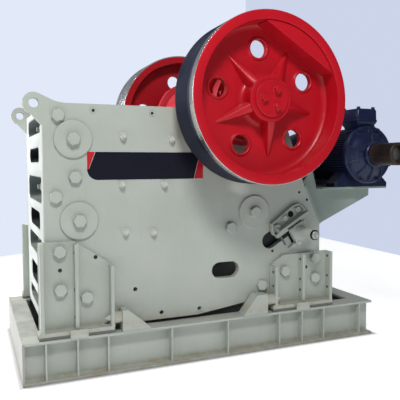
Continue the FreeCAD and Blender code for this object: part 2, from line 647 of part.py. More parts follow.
def swing_jaw():
    """Swing jaw casting, hung on the eccentric journal, with its toggle seat at the bottom."""
    x, z = eccentric_axis()
    top, toe = f"{DECK} + die_top", f"{DECK} + swing_toe"
    low, high = sloped_point(TOGGLE, "0", "-block_half"), sloped_point(TOGGLE, "0", "block_half")
    outline = [(SWING_TOE, toe), low, high, (f"{x} + barrel_radius * 0.84", f"{z} - barrel_radius * 0.5"),
               (f"{x} - barrel_radius * 0.5", f"{z} + barrel_radius * 0.8"),
               (SWING_TOP, top)]
    body = middle_outline("SwingJaw", JAW_BODY_HALF, outline)
    barrel = sketch_on(body, "XZ_Plane", f"-{JAW_BODY_HALF}")
    draw_circle(barrel, x, z, "barrel_radius")
    pad(body, barrel, f"2 * {JAW_BODY_HALF}")
    bore = sketch_on(body, "XZ_Plane", "0")
    draw_circle(bore, x, z, f"{JOURNAL_RADIUS} + running_gap")
    pocket_through(body, bore)
    finished(body, "swing_jaw")


def toggle_gear():
    """Toggle plate, toggle block and the two adjusting wedges."""
    finished(sloped_box(TOGGLE, "toggle_gap", "toggle_reach - toggle_gap", "-toggle_thick / 2",
                        "toggle_thick", "-toggle_half", "2 * toggle_half"), "toggle_plate")
    half = "(plate_inner - block_side_gap)"
    finished(sloped_box(TOGGLE, "toggle_reach", "block_thick", "-block_half", "2 * block_half",
                        f"-{half}", f"2 * {half}"), "toggle_block")
    width = f"({half} - wedge_gap / 2)"
    for side, sign in SIDES:
        wedge = sloped_box(TOGGLE, "toggle_reach + block_thick", "wedge_thick", "-block_half",
                           "2 * block_half", span(sign, "wedge_gap / 2", width), width)
        finished(wedge, f"adjusting_wedge_{side}")


# ---------------------------------------------------------------- shaft, housings and flywheels
def bearing_housing(side, sign):
    """Round housing seated in the side plate's notch, bored for the shaft."""
    inside = rod("Y", "shaft_x", span(sign, "plate_inner", "plate_thick"), SHAFT_Z, "housing_radius",
                 "plate_thick")
    cap_width = "(housing_width - plate_thick)"
    outside = rod("Y", "shaft_x", span(sign, PLATE_OUTER, cap_width), SHAFT_Z, "housing_cap_radius",
                  cap_width)
    bore = rod("Y", "shaft_x", span(sign, "plate_inner", "housing_width"), SHAFT_Z,
               "shaft_radius + running_gap", "housing_width")
    finished(without(joined(inside, outside), bore), f"bearing_housing_{side}")


def eccentric_shaft():
    """Main shaft with its eccentric journal under the swing jaw head."""
    end = f"({WHEEL_OUTER} - hub_inset)"
    x, z = eccentric_axis()
    journal_half = f"({JAW_BODY_HALF} + 8)"
    main = rod("Y", "shaft_x", f"-{end}", SHAFT_Z, "shaft_radius", f"2 * {end}")
    journal = rod("Y", x, f"-{journal_half}", z, JOURNAL_RADIUS, f"2 * {journal_half}")
    finished(joined(main, journal), "eccentric_shaft")


def wheel_points(sign):
    """Half section of a flywheel: rim, web and hub, as (Y, radius)."""
    rim, web_out = "(wheel_radius - rim_thick)", f"({WHEEL_OUTER} - web_inset)"
    web_in, hub_out = f"({web_out} - web_thick)", f"({WHEEL_OUTER} - hub_inset)"
    hub_in = f"({WHEEL_INNER} + hub_back_inset)"
    section = [(hub_in, "shaft_radius"), (hub_in, "hub_radius"), (web_in, "hub_radius"), (web_in, rim),
               (WHEEL_INNER, rim), (WHEEL_INNER, "wheel_radius"), (WHEEL_OUTER, "wheel_radius"),
               (WHEEL_OUTER, rim), (web_out, rim), (web_out, "hub_radius"), (hub_out, "hub_radius"),
               (hub_out, "shaft_radius")]
    return [(f"{sign} * {y}", r) for y, r in section]


def polar_copies(body, feature, count):
    """Copies of a feature round the body's Y axis."""
    axis = [item for item in body.Origin.OriginFeatures if item.Role == "Y_Axis"][0]
    pattern = body.newObject("PartDesign::PolarPattern", "Spokes")
    pattern.Originals = [feature]
    pattern.Axis = (axis, [""])
    pattern.Angle = 360
    bind(pattern, {"Occurrences": count})
    body.Tip = pattern
    return pattern


def flywheel(side, sign):
    """Flywheel with round openings, lips, ribs and the counterweight cast in its rim."""
    body = new_body(f"Flywheel_{side}")
    section = sketch_on(body, "YZ_Plane", "0")
    draw_polygon(section, wheel_points(sign))
    turned = body.newObject("PartDesign::Revolution", "Turned")
    turned.Profile = section
    turned.ReferenceAxis = (section, ["H_Axis"])
    turned.Angle = 360
    web_face = f"({WHEEL_OUTER} - web_inset)"
    eye = ("eye_circle * cos(eye_angle)", "eye_circle * sin(eye_angle)")
    lip = sketch_on(body, "XZ_Plane", upright(sign, web_face, "eye_lip_height"))
    draw_circle(lip, *eye, "eye_radius + eye_lip")
    polar_copies(body, pad(body, lip, "eye_lip_height"), "spokes")
    hole = sketch_on(body, "XZ_Plane", "0")
    draw_circle(hole, *eye, "eye_radius")
    polar_copies(body, pocket_through(body, hole), "spokes")
    weight = sketch_on(body, "XZ_Plane", upright(sign, web_face, "web_inset - weight_inset"))
    steps = [step / 2 for step in range(-2, 3)]
    draw_polygon(weight, [(f"(wheel_radius - rim_thick / 2) * cos(weight_angle + {step} * weight_half_angle)",
                           f"(wheel_radius - rim_thick / 2) * sin(weight_angle + {step} * weight_half_angle)")
                          for step in steps])
    pad(body, weight, "web_inset - weight_inset")
    bind(body, {"Placement.Base.x": "shaft_x", "Placement.Base.z": SHAFT_Z})
    ribs = [flywheel_rib(sign, index) for index in range(int(value_of("spokes")))]
    wheel = joined(body, *ribs)
    rim, low_y = "(wheel_radius - rim_thick)", span(sign, WHEEL_INNER, "wheel_width")
    spokes = rod("Y", "shaft_x", low_y, SHAFT_Z, rim, "wheel_width")
    rim_room = without(rod("Y", "shaft_x", low_y, SHAFT_Z, "wheel_radius", "wheel_width"),
                       rod("Y", "shaft_x", low_y, SHAFT_Z, rim, "wheel_width"))
    finished(without(wheel, rim_room), f"flywheel_{side}")
    finished(without(wheel, spokes), f"flywheel_rim_{side}")


def flywheel_rib(sign, index):
    """Rib from the hub to a point on the web, a wedge laid along one radius."""
    rib = doc.addObject("Part::Wedge", "Rib")
    reach, root = "rib_tip", "(hub_radius - 8)"
    bind(rib, {"Xmin": "-rib_width / 2", "Xmax": "rib_width / 2", "X2min": "-2", "X2max": "2",
               "Ymin": root, "Ymax": reach, "Zmin": "-2", "Zmax": "rib_height", "Z2min": "-2",
               "Z2max": "2", "Placement.Base.x": "shaft_x", "Placement.Base.z": SHAFT_Z,
               "Placement.Base.y": f"{sign} * ({WHEEL_OUTER} - web_inset)"})
    turn = value_of(f"rib_angle + {index} * 360 / spokes")
    radial = FreeCAD.Rotation(Vector(0, -1, 0), turn).multVec(Vector(1, 0, 0))
    outward = Vector(0, sign, 0)
    rib.Placement.Rotation = FreeCAD.Rotation(radial.cross(outward), radial, outward)
    return rib


def hub_cap(side, sign):
    """Disc that closes the shaft end on the flywheel hub."""
    face = f"({WHEEL_OUTER} - hub_inset)"
    finished(rod("Y", "shaft_x", span(sign, face, "hub_inset"), SHAFT_Z, "cap_radius", "hub_inset"),
             f"hub_cap_{side}")


# ---------------------------------------------------------------- adjusting gear outside the plates
def wedge_guide(side, sign):
    """Guides bolted to the side plate above and below the wedge slot, the upper with a shelf."""
    low, top = "slot_low", "(shelf_low + shelf_thick)"
    upper = [(-235, "slot_low + slot_width - 18"), (-219, f"{top} + 115"), (42, f"{top} + 115"),
             (150, f"{top} + 34"), ("shelf_half", "shelf_low"), ("-shelf_half", "shelf_low")]
    lower = [(-235, f"{low} - 12"), (-90, f"{low} - 104"), (-50, f"{low} - 118"), (90, f"{low} - 124"),
             (90, f"{low} - 2"), (-200, f"{low} - 2")]
    pieces = [side_outline(f"Guide_{side}", sign, PLATE_OUTER, "guide_thick",
                           [sloped_point(GUIDE, *point) for point in points])
              for points in (upper, lower)]
    pieces.append(sloped_box(GUIDE, "-shelf_half", "2 * shelf_half", "shelf_low", "shelf_thick",
                             span(sign, PLATE_OUTER, "shelf_depth"), "shelf_depth"))
    for start in ("-shelf_half", "shelf_half - 16"):
        pieces.append(sloped_box(GUIDE, start, "16", top, "60", span(sign, PLATE_OUTER, "shelf_depth - 25"),
                                 "shelf_depth - 25"))
    finished(joined(*pieces), f"wedge_guide_{side}")


def wedge_adjuster(side, sign):
    """Square flange and block beside the slot, and the adjusting cylinder that stands out of it."""
    x, z, _ = GUIDE
    block, flange = "adjuster_block / 2", "adjuster_flange / 2"
    seat = f"({PLATE_OUTER} + guide_thick)"
    face = f"({seat} + adjuster_block_depth)"
    front = f"({face} + adjuster_flange_thick)"
    end = f"({PLATE_OUTER} + adjuster_reach)"
    block_box = sloped_box(GUIDE, f"-{block}", "adjuster_block", f"-{block}", "adjuster_block",
                           span(sign, seat, "adjuster_block_depth"), "adjuster_block_depth")
    flange_box = sloped_box(GUIDE, f"-{flange}", "adjuster_flange", f"-{flange}", "adjuster_flange",
                            span(sign, face, "adjuster_flange_thick"), "adjuster_flange_thick")
    barrel = rod("Y", x, span(sign, face, f"{end} - {face}"), z, "adjuster_radius", f"{end} - {face}")
    root_length = "(adjuster_root * 1.2)"
    radii = ("adjuster_radius", "adjuster_root") if sign < 0 else ("adjuster_root", "adjuster_radius")
    root = rod("Y", x, span(sign, front, root_length), z, radii[0], root_length, radii[1])
    cap = rod("Y", x, span(sign, f"({end} - adjuster_cap)", "adjuster_cap"), z, "adjuster_radius + 6",
              "adjuster_cap")
    finished(joined(block_box, flange_box, barrel, root, cap), f"wedge_adjuster_{side}")


# ---------------------------------------------------------------- motor and its bracket
def motor_bracket():
    """Welded shelf behind the frame: a leaning back plate, a shelf and three gussets."""
    lean = [("frame_back", f"{DECK} + tail_height"), ("frame_back + 25", f"{DECK} + tail_height + 12"),
            ("shoulder_x + 25", f"{DECK} + shoulder_height + 12"), ("shoulder_x", f"{DECK} + shoulder_height")]
    back = middle_outline("BracketBack", BRACKET_HALF, lean)
    shelf = box("bracket_front", f"-{BRACKET_HALF}", f"{DECK} + bracket_height",
                "motor_x + motor_foot_half - bracket_front", f"2 * {BRACKET_HALF}", "bracket_thick")
    bottom = f"{DECK} + bracket_height"
    gusset = [("frame_back + 10", f"{DECK} + tail_height + 5"), ("frame_back + 66", f"{DECK} + tail_height"),
              ("motor_x + 175", f"{bottom} - 75"), ("motor_x + 175", bottom), ("bracket_front", bottom),
              ("bracket_front - 46", f"{bottom} + bracket_thick + bracket_rise"),
              ("bracket_front - 88", f"{bottom} + bracket_thick + bracket_rise"),
              ("shoulder_x + 10", f"{DECK} + shoulder_height + 5")]
    outer = [side_outline(f"Gusset_{side}", sign, f"{GUSSET_OUT} - gusset_thick", "gusset_thick", gusset)
             for side, sign in SIDES]
    middle = middle_outline("GussetMiddle", "gusset_thick / 2", gusset)
    finished(joined(back, shelf, *outer, middle), "motor_bracket")


def motor_body():
    """Barrel, feet, terminal box and fan cowl of the drive motor."""
    finished(rod("Y", "motor_x", "-motor_front", MOTOR_Z, "motor_radius", "motor_length"), "motor_body")
    cowl = rod("Y", "motor_x", "motor_length - motor_front", MOTOR_Z, "cowl_radius", "cowl_length")
    finished(cowl, "motor_fan_cowl")
    foot_shape = [("motor_x - motor_foot_half", MOTOR_FOOT_Z), ("motor_x + motor_foot_half", MOTOR_FOOT_Z),
                  ("motor_x + motor_foot_half", f"{MOTOR_FOOT_Z} + motor_foot_thick"),
                  ("motor_x + 200", f"{MOTOR_FOOT_Z} + motor_foot_rise + 40"),
                  ("motor_x - 200", f"{MOTOR_FOOT_Z} + motor_foot_rise + 40"),
                  ("motor_x - motor_foot_half", f"{MOTOR_FOOT_Z} + motor_foot_thick")]
    feet_pads = [profile_body("MotorFoot", "XZ_Plane", f"motor_foot_front - motor_foot_length - ({shift})",
                              "motor_foot_length", foot_shape)
                 for shift in ("0", "motor_foot_pitch")]
    barrel = rod("Y", "motor_x", "-motor_front", MOTOR_Z, "motor_radius", "motor_length")
    finished(without(joined(*feet_pads), barrel), "motor_feet")
    lid = box("motor_x - terminal_width / 2", "-terminal_front", f"{MOTOR_Z} + motor_radius - 60",
              "terminal_width", "terminal_length", "terminal_top - motor_radius + 60")
    barrel = rod("Y", "motor_x", "-motor_front", MOTOR_Z, "motor_radius", "motor_length")
    rim = rod("Y", "motor_x", "-motor_front - shield_rim", MOTOR_Z, "shield_radius", "shield_rim")
    finished(without(lid, barrel, rim), "motor_terminal_box")


def motor_shield():
    """Driving end shield with its dome and bearing cap, bored for the shaft."""
    rim_y = "(-motor_front - shield_rim)"
    dome_y = f"({rim_y} - shield_dome)"
    cap_y = f"({dome_y} - shield_cap)"
    rim = rod("Y", "motor_x", rim_y, MOTOR_Z, "shield_radius", "shield_rim")
    dome = rod("Y", "motor_x", dome_y, MOTOR_Z, "shield_cap_radius + 30", "shield_dome", "shield_radius - 45")
    cap = rod("Y", "motor_x", cap_y, MOTOR_Z, "shield_cap_radius", "shield_cap")
    bore = rod("Y", "motor_x", cap_y, MOTOR_Z, "motor_shaft_radius + running_gap",
               "shield_rim + shield_dome + shield_cap")
    finished(without(joined(rim, dome, cap), bore), "motor_end_shield")


def motor_shaft():
    """Motor shaft and the drive sleeve keyed on it."""
    cap_y = "(-motor_front - shield_rim - shield_dome - shield_cap)"
    sleeve_in = f"({cap_y} - sleeve_gap)"
    sleeve_out = f"({sleeve_in} - sleeve_length)"
    shaft_end = f"({sleeve_out} + sleeve_mouth_depth)"
    finished(rod("Y", "motor_x", shaft_end, MOTOR_Z, "motor_shaft_radius",
                 f"-motor_front - motor_shaft_gap - {shaft_end}"), "motor_shaft")
    outside = rod("Y", "motor_x", sleeve_out, MOTOR_Z, "sleeve_radius", "sleeve_length")
    bore = rod("Y", "motor_x", sleeve_out, MOTOR_Z, "motor_shaft_radius", "sleeve_length")
    mouth = rod("Y", "motor_x", sleeve_out, MOTOR_Z, "sleeve_mouth", "sleeve_mouth_depth")
    finished(without(outside, bore, mouth), "drive_sleeve")


# ---------------------------------------------------------------- assembly
def build():
    """Make every sub-part."""
    base_cross_members()
    rubber_pads()
    buffers()
    front_casting()
    back_casting()
    dies()
    swing_jaw()
    toggle_gear()
    eccentric_shaft()
    for side, sign in SIDES:
        base_beam(side, sign)
        feet(side, sign)
        stoppers(side, sign)
        side_plate(side, sign)
        lifting_lug(side, sign)
        bosses(side, sign)
        cheek(side, sign)
        bearing_housing(side, sign)
        flywheel(side, sign)
        hub_cap(side, sign)
        wedge_guide(side, sign)
        wedge_adjuster(side, sign)
    motor_bracket()
    motor_body()
    motor_shield()
    motor_shaft()


def check_and_write():
    """Stop on any failed feature or bad shape, then write each sub-part to its file."""
    failed = [thing.Name for thing in doc.Objects if {"Invalid", "Error"} & set(thing.State)]
    if failed:
        raise RuntimeError(f"failed features: {failed}")
    os.makedirs("parts", exist_ok=True)
    for part in sub_parts:
        if part.Shape.isNull() or not part.Shape.isValid():
            raise RuntimeError(f"bad shape: {part.Label}")
        part.Shape.exportStep(os.path.join("parts", f"{part.Label}.step"))
        bounds = part.Shape.BoundBox
        print(f"{part.Label}: {len(part.Shape.Solids)} solids, {part.Shape.Volume / 1e9:.4f} m3, "
              f"x {bounds.XMin:.0f}..{bounds.XMax:.0f} y {bounds.YMin:.0f}..{bounds.YMax:.0f} "
              f"z {bounds.ZMin:.0f}..{bounds.ZMax:.0f}")


build()
doc.recompute()
check_and_write()
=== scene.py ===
"""Looks of the jaw crusher: detailed pieces, paint and metal finishes, light and camera.

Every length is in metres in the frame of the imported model: +X from the feed end to the
motor end, +Z up, the near side is -Y.  Places are read from the boxes of the CAD nodes.
"""
import enum
import logging
import math
from dataclasses import dataclass
from typing import Iterable, Sequence

import bmesh
import bpy
import numpy as np
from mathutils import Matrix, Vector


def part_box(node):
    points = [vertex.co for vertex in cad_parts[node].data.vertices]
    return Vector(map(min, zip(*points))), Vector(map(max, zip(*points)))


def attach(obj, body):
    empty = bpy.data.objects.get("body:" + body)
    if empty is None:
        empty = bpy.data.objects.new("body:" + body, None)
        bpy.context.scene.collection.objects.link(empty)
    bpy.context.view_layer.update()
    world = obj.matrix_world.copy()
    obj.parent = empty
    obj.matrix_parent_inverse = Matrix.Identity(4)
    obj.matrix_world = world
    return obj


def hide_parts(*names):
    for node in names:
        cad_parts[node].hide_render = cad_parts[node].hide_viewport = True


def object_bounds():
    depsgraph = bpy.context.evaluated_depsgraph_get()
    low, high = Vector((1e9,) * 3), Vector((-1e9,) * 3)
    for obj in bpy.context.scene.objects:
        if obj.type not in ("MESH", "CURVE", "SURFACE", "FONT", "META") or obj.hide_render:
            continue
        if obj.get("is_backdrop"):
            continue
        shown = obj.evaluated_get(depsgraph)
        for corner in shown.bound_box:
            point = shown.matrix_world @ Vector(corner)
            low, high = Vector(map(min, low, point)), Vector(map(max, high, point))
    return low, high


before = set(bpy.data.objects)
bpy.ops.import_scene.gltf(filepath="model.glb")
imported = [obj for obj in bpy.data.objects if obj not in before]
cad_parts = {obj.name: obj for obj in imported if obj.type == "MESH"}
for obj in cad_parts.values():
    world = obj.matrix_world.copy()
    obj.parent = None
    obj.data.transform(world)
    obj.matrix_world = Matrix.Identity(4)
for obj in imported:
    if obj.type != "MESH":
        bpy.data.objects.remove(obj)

LOG = logging.getLogger("jaw_crusher")
Array = np.ndarray
Pair = tuple[float, float]
Triple = tuple[float, float, float]
Colour = Triple
Row = tuple[float, float, float, float]
TURN = 2 * math.pi


class Side(enum.Enum):
    """The two sides of the machine; the value is the sign of Y."""

    NEAR = -1
    FAR = 1

    @property
    def word(self) -> str:
        """The side's name as the CAD nodes spell it."""
        return self.name.lower()

    @property
    def normal(self) -> str:
        """The way that the side's outer faces look."""
        return "-Y" if self is Side.NEAR else "+Y"


class Body(enum.Enum):
    """The rigid bodies that pieces ride on."""

    FRAME = "frame"
    SHAFT = "flywheel_shaft"
    JAW = "swing_jaw_body"
    ROTOR = "motor_rotor"


# ------------------------------------------------------------------ surfaces
@dataclass
class Shell:
    """Vertices and faces of one or more surfaces."""

    points: Array
    faces: list[tuple[int, ...]]

    def __add__(self, other: "Shell") -> "Shell":
        """Both surfaces in one shell.

        Args:
            other: the surface to add.

        Returns:
            The joined shell.
        """
        shift = len(self.points)
        moved = [tuple(index + shift for index in face) for face in other.faces]
        return Shell(np.vstack([self.points, other.points]), self.faces + moved)

    def placed(self, at: Sequence[float], axes: Array) -> "Shell":
        """The shell with its own X, Y, Z turned to the rows of axes and moved to at."""
        return Shell(self.points @ np.asarray(axes, float) + np.asarray(at, float), self.faces)

    def on_side(self, side: Side) -> "Shell":
        """The shell, drawn for the far side, on the given side of the middle plane."""
        return Shell(self.points * np.array([1.0, side.value, 1.0]), self.faces)


def together(shells: Iterable[Shell]) -> Shell:
    """Join many shells at once.

    Args:
        shells: the surfaces to join.

    Returns:
        One shell with all their vertices and faces.
    """
    points: list[Array] = []
    faces: list[tuple[int, ...]] = []
    shift = 0
    for shell in shells:
        points.append(shell.points)
        faces.extend(tuple(index + shift for index in face) for face in shell.faces)
        shift += len(shell.points)
    return Shell(np.vstack(points), faces)


def grid(points: Array, wrap_u: bool = False, wrap_v: bool = False) -> Shell:
    """Quads over a grid of points.

    Args:
        points: array of shape (u, v, 3).
        wrap_u: joins the last row to the first.
        wrap_v: joins the last column to the first.

    Returns:
        The gridded surface.
    """
    rows, columns = points.shape[:2]
    u = np.arange(rows if wrap_u else rows - 1)
    v = np.arange(columns if wrap_v else columns - 1)
    here, across = np.meshgrid(u, v, indexing="ij")
    after, over = (here + 1) % rows, (across + 1) % columns
    corners = [here * columns + across, after * columns + across,
               after * columns + over, here * columns + over]
    quads = np.stack(corners, axis=-1).reshape(-1, 4)
    return Shell(points.reshape(-1, 3), [tuple(quad) for quad in quads.tolist()])


def turned(profile: Sequence[Pair], segments: int = 96) -> Shell:
    """A closed loop of (radius, height) spun round Z: x = r cos a, y = r sin a, z = height.

    A loop that starts and ends on the axis, at radius 0, gets flat ends instead of a bore.

    Args:
        profile: the loop's points.
        segments: points round the axis.

    Returns:
        The spun surface.
    """
    loop = np.asarray(profile, float)
    solid = loop[0, 0] == 0 and loop[-1, 0] == 0
    loop = loop[1:-1] if solid else loop
    angle = np.arange(segments) * TURN / segments
    points = np.empty((len(loop), segments, 3))
    points[..., 0] = loop[:, :1] * np.cos(angle)
    points[..., 1] = loop[:, :1] * np.sin(angle)
    points[..., 2] = loop[:, 1:]
    return lofted(list(points)) if solid else grid(points, wrap_u=True, wrap_v=True)


def disc(radius: float, low: float, shoulder: float, top: float, high: float, segments: int) -> Shell:
    """A round plate from low to high: upright up to its shoulder, then in to the top radius."""
    return turned([(0, low), (radius, low), (radius, shoulder), (top, high), (0, high)], segments)


def prism(outline: Array, low: float, high: float) -> Shell:
    """A flat outline in XY raised from z = low to z = high, with both ends closed.

    Args:
        outline: points in order.
        low: Z of one end.
        high: Z of the other.

    Returns:
        The closed prism.
    """
    outline = np.asarray(outline, float)
    count = len(outline)
    points = np.empty((2, count, 3))
    points[..., :2] = outline
    points[0, :, 2], points[1, :, 2] = low, high
    walls = grid(points, wrap_v=True)
    ends = [tuple(range(count)), tuple(range(2 * count - 1, count - 1, -1))]
    return Shell(walls.points, walls.faces + ends)


def slab(low: Sequence[float], high: Sequence[float]) -> Shell:
    """A rectangular bar between two corners, later bevelled."""
    outline = [(low[0], low[1]), (high[0], low[1]), (high[0], high[1]), (low[0], high[1])]
    return prism(np.array(outline), low[2], high[2])


def rounded_outline(width: float, height: float, radius: float, steps: int = 6) -> Array:
    """A rectangle about the origin with round corners: four quarter circles in a row.

    Args:
        width: size along X.
        height: size along Y.
        radius: corner radius.
        steps: points to a corner.

    Returns:
        The outline's points.
    """
    angles = np.linspace(0, math.pi / 2, steps)
    corners = []
    for index, (sx, sy) in enumerate(((1, 1), (-1, 1), (-1, -1), (1, -1))):
        angle = angles + index * math.pi / 2
        centre = np.array([sx * (width / 2 - radius), sy * (height / 2 - radius)])
        corners.append(centre + radius * np.stack([np.cos(angle), np.sin(angle)], axis=1))
    return np.vstack(corners)


def lofted(rings: Sequence[Array]) -> Shell:
    """A surface through rings of as many points each, with the first and last ring closed.

    Args:
        rings: arrays of points, in order.

    Returns:
        The closed surface.
    """
    points = np.stack(rings)
    count = points.shape[1]
    skin = grid(points, wrap_v=True)
    last = (len(rings) - 1) * count
    ends = [tuple(range(count)), tuple(range(last + count - 1, last - 1, -1))]
    return Shell(skin.points, skin.faces + ends)


def tube(path: Array, radius: Array | float, around: int = 10) -> Shell:
    """A round tube along a path.

    The cross-section at each path point is a circle across the local direction; its two
    in-plane directions come from that direction and a fixed one well away from it.

    Args:
        path: array of shape (n, 3).
        radius: one radius, or one for each path point.
        around: points round the tube.

    Returns:
        The closed tube.
    """
    path = np.asarray(path, float)
    along = np.gradient(path, axis=0)
    along /= np.linalg.norm(along, axis=1, keepdims=True)
    mean = np.abs(along).mean(axis=0)
    fixed = np.eye(3)[int(np.argmin(mean))]
    first = np.cross(along, fixed)
    first /= np.linalg.norm(first, axis=1, keepdims=True)
    second = np.cross(along, first)
    angle = np.arange(around) * TURN / around
    radii = np.broadcast_to(np.asarray(radius, float), (len(path),))[:, None, None]
    ring = (np.cos(angle)[None, :, None] * first[:, None, :]
            + np.sin(angle)[None, :, None] * second[:, None, :])
    return lofted(list(path[:, None, :] + radii * ring))


AXES = {"+X": ((0, 1, 0), (0, 0, 1), (1, 0, 0)), "-X": ((0, -1, 0), (0, 0, 1), (-1, 0, 0)),
        "+Y": ((-1, 0, 0), (0, 0, 1), (0, 1, 0)), "-Y": ((1, 0, 0), (0, 0, 1), (0, -1, 0)),
        "+Z": ((1, 0, 0), (0, 1, 0), (0, 0, 1))}
UPRIGHT = ((1, 0, 0), (0, 0, 1), (0, 1, 0))     # drawn in X and Z, raised along Y


def facing(direction: str, spin: float = 0.0) -> Array:
    """Rows for a part drawn along its own Z that is to face a direction, spun about it.

    Args:
        direction: a key of AXES.
        spin: angle about that direction.

    Returns:
        The three rows.
    """
    x, y, z = (np.array(row, float) for row in AXES[direction])
    cos, sin = math.cos(spin), math.sin(spin)
    return np.array([cos * x + sin * y, cos * y - sin * x, z])


def spun(angle: float) -> tuple[Triple, Triple, Triple]:
    """Rows that turn a part by an angle about its own Z."""
    cos, sin = math.cos(angle), math.sin(angle)
    return (cos, sin, 0), (-sin, cos, 0), (0, 0, 1)


# ------------------------------------------------------------------ fasteners
@dataclass(frozen=True)
class HexBolt:
    """A hexagon head with a chamfered top, a washer face and, if asked, a threaded stud end."""

    flats: float
    height: float
    washer: float = 0.0
    washer_thick: float = 0.0
    stud: float = 0.0

    def shell(self) -> Shell:
        """The head: a six-sided spun profile, on a round washer, with ridged thread rings above."""
        corner = self.flats / math.sqrt(3)
        base = self.washer_thick
        top = base + self.height
        chamfer = 0.045 * self.flats
        head = turned([(0, base), (corner, base), (corner, top - chamfer),
                       (0.9 * corner, top), (0, top)], 6)
        parts = [head]
        if self.washer_thick:
            parts.append(turned([(0, 0), (self.washer, 0), (self.washer, 0.8 * base),
                                 (self.washer - 0.2 * base, base), (0, base)], 32))
        if self.stud:
            radius = 0.3 * self.flats
            rings = np.arange(7)
            heights = top + self.stud * rings / 6
            radii = radius * np.where(rings % 2 == 0, 1.0, 0.93)
            profile = [(0, top - 0.002)] + list(zip(radii, heights)) + [(0, top + self.stud)]
            parts.append(turned(profile, 20))
        return together(parts)

    def at(self, places: Iterable[Sequence[float]], direction: str) -> Shell:
        """Copies at several places, each turned a little differently as real bolts are.

        Args:
            places: where the copies stand.
            direction: the way they face.

        Returns:
            All the copies.
        """
        model = self.shell()
        return together(model.placed(place, facing(direction, 0.7 * index + 0.26))
                        for index, place in enumerate(places))


@dataclass(frozen=True)
class WeldBead:
    """A fillet weld: a tube half sunk in its corner, its radius rippled along its length."""

    radius: float = 0.007
    ripple: float = 0.012

    def along(self, start: Sequence[float], end: Sequence[float]) -> Shell:
        """The bead from start to end; radius = r (0.9 + 0.16 |sin(pi s / ripple)|).

        Args:
            start: one end.
            end: the other end.

        Returns:
            The bead.
        """
        start, end = np.asarray(start, float), np.asarray(end, float)
        length = float(np.linalg.norm(end - start))
        count = max(4, int(length / (0.55 * self.ripple)))
        share = np.linspace(0, 1, count)
        path = start + share[:, None] * (end - start)
        radius = self.radius * (0.9 + 0.16 * np.abs(np.sin(math.pi * share * length / self.ripple)))
        return tube(path, radius, 6)


# ------------------------------------------------------------------ node helpers
class Sheet:
    """A node tree with short ways to add and join nodes."""

    def __init__(self, tree: bpy.types.NodeTree) -> None:
        """Start on an emptied tree."""
        self.tree = tree
        tree.nodes.clear()

    def node(self, kind: str, inputs: dict[str | int, object] | None = None,
             **settings: object) -> bpy.types.Node:
        """Add a node.

        Args:
            kind: the node's type name.
            inputs: socket values, or sockets to link from, by name or number.
            settings: the node's own properties.

        Returns:
            The new node.
        """
        made = self.tree.nodes.new(kind)
        for name, value in settings.items():
            setattr(made, name, value)
        for name, value in (inputs or {}).items():
            if isinstance(value, bpy.types.NodeSocket):
                self.tree.links.new(value, made.inputs[name])
            else:
                made.inputs[name].default_value = value
        return made

    def maths(self, operation: str, first: object, second: object = 0.0,
              clamp: bool = False) -> bpy.types.NodeSocket:
        """One arithmetic step on two values or sockets."""
        made = self.node("ShaderNodeMath", {0: first, 1: second}, operation=operation, use_clamp=clamp)
        return made.outputs[0]

    def times(self, first: object, second: object, clamp: bool = False) -> bpy.types.NodeSocket:
        """A product."""
        return self.maths("MULTIPLY", first, second, clamp)

    def plus(self, first: object, second: object, clamp: bool = False) -> bpy.types.NodeSocket:
        """A sum."""
        return self.maths("ADD", first, second, clamp)

    def minus(self, first: object, second: object) -> bpy.types.NodeSocket:
        """A difference."""
        return self.maths("SUBTRACT", first, second)

    def ramp(self, value: object, low: float, high: float) -> bpy.types.NodeSocket:
        """A smooth step from 0 at low to 1 at high."""
        made = self.node("ShaderNodeMapRange", {0: value, 1: low, 2: high}, interpolation_type="SMOOTHSTEP")
        return made.outputs[0]

    def mix(self, share: object, first: object, second: object) -> bpy.types.NodeSocket:
        """Two colours mixed."""
        return self.node("ShaderNodeMix", {0: share, 6: first, 7: second}, data_type="RGBA").outputs[2]

    def place(self) -> bpy.types.NodeSocket:
        """The Object coordinates."""
        return self.node("ShaderNodeTexCoord").outputs["Object"]

    def apart(self, vector: object) -> Sequence[bpy.types.NodeSocket]:
        """The three parts of a vector."""
        return self.node("ShaderNodeSeparateXYZ", {0: vector}).outputs

    def effect(self, group: bpy.types.NodeTree, inputs: dict[str, object]) -> Sequence[bpy.types.NodeSocket]:
        """The outputs of a shared effect with these settings."""
        return self.node("ShaderNodeGroup", inputs, node_tree=group).outputs

    def surface(self, inputs: dict[str, object]) -> None:
        """A principled shader, joined to the material's output."""
        shader = self.node("ShaderNodeBsdfPrincipled", inputs)
        self.node("ShaderNodeOutputMaterial", {"Surface": shader.outputs[0]})

    def noise(self, vector: object, scale: float, detail: float = 4.0,
              roughness: float = 0.55) -> bpy.types.NodeSocket:
        """A noise value.

        Args:
            vector: the coordinates.
            scale: its fineness.
            detail: its octaves.
            roughness: weight of the fine octaves.

        Returns:
            The value's socket.
        """
        made = self.node("ShaderNodeTexNoise", {"Vector": vector, "Scale": scale, "Detail": detail,
                                                "Roughness": roughness})
        return made.outputs[0]

    def stretched(self, vector: object, scale: Sequence[float]) -> bpy.types.NodeSocket:
        """The pattern's coordinates, scaled along each axis."""
        return self.node("ShaderNodeMapping", {"Vector": vector, "Scale": scale}).outputs[0]


def rgba(colour: Colour) -> Row:
    """A colour with full alpha."""
    return (*colour, 1.0)


def new_material(name: str) -> tuple[bpy.types.Material, Sheet, bpy.types.NodeSocket]:
    """An empty material, the sheet of its nodes and its Object coordinates.

    Args:
        name: the material's name.

    Returns:
        The material, its sheet and the coordinates.
    """
    material = bpy.data.materials.new(name)
    material.use_nodes = True
    sheet = Sheet(material.node_tree)
    return material, sheet, sheet.place()


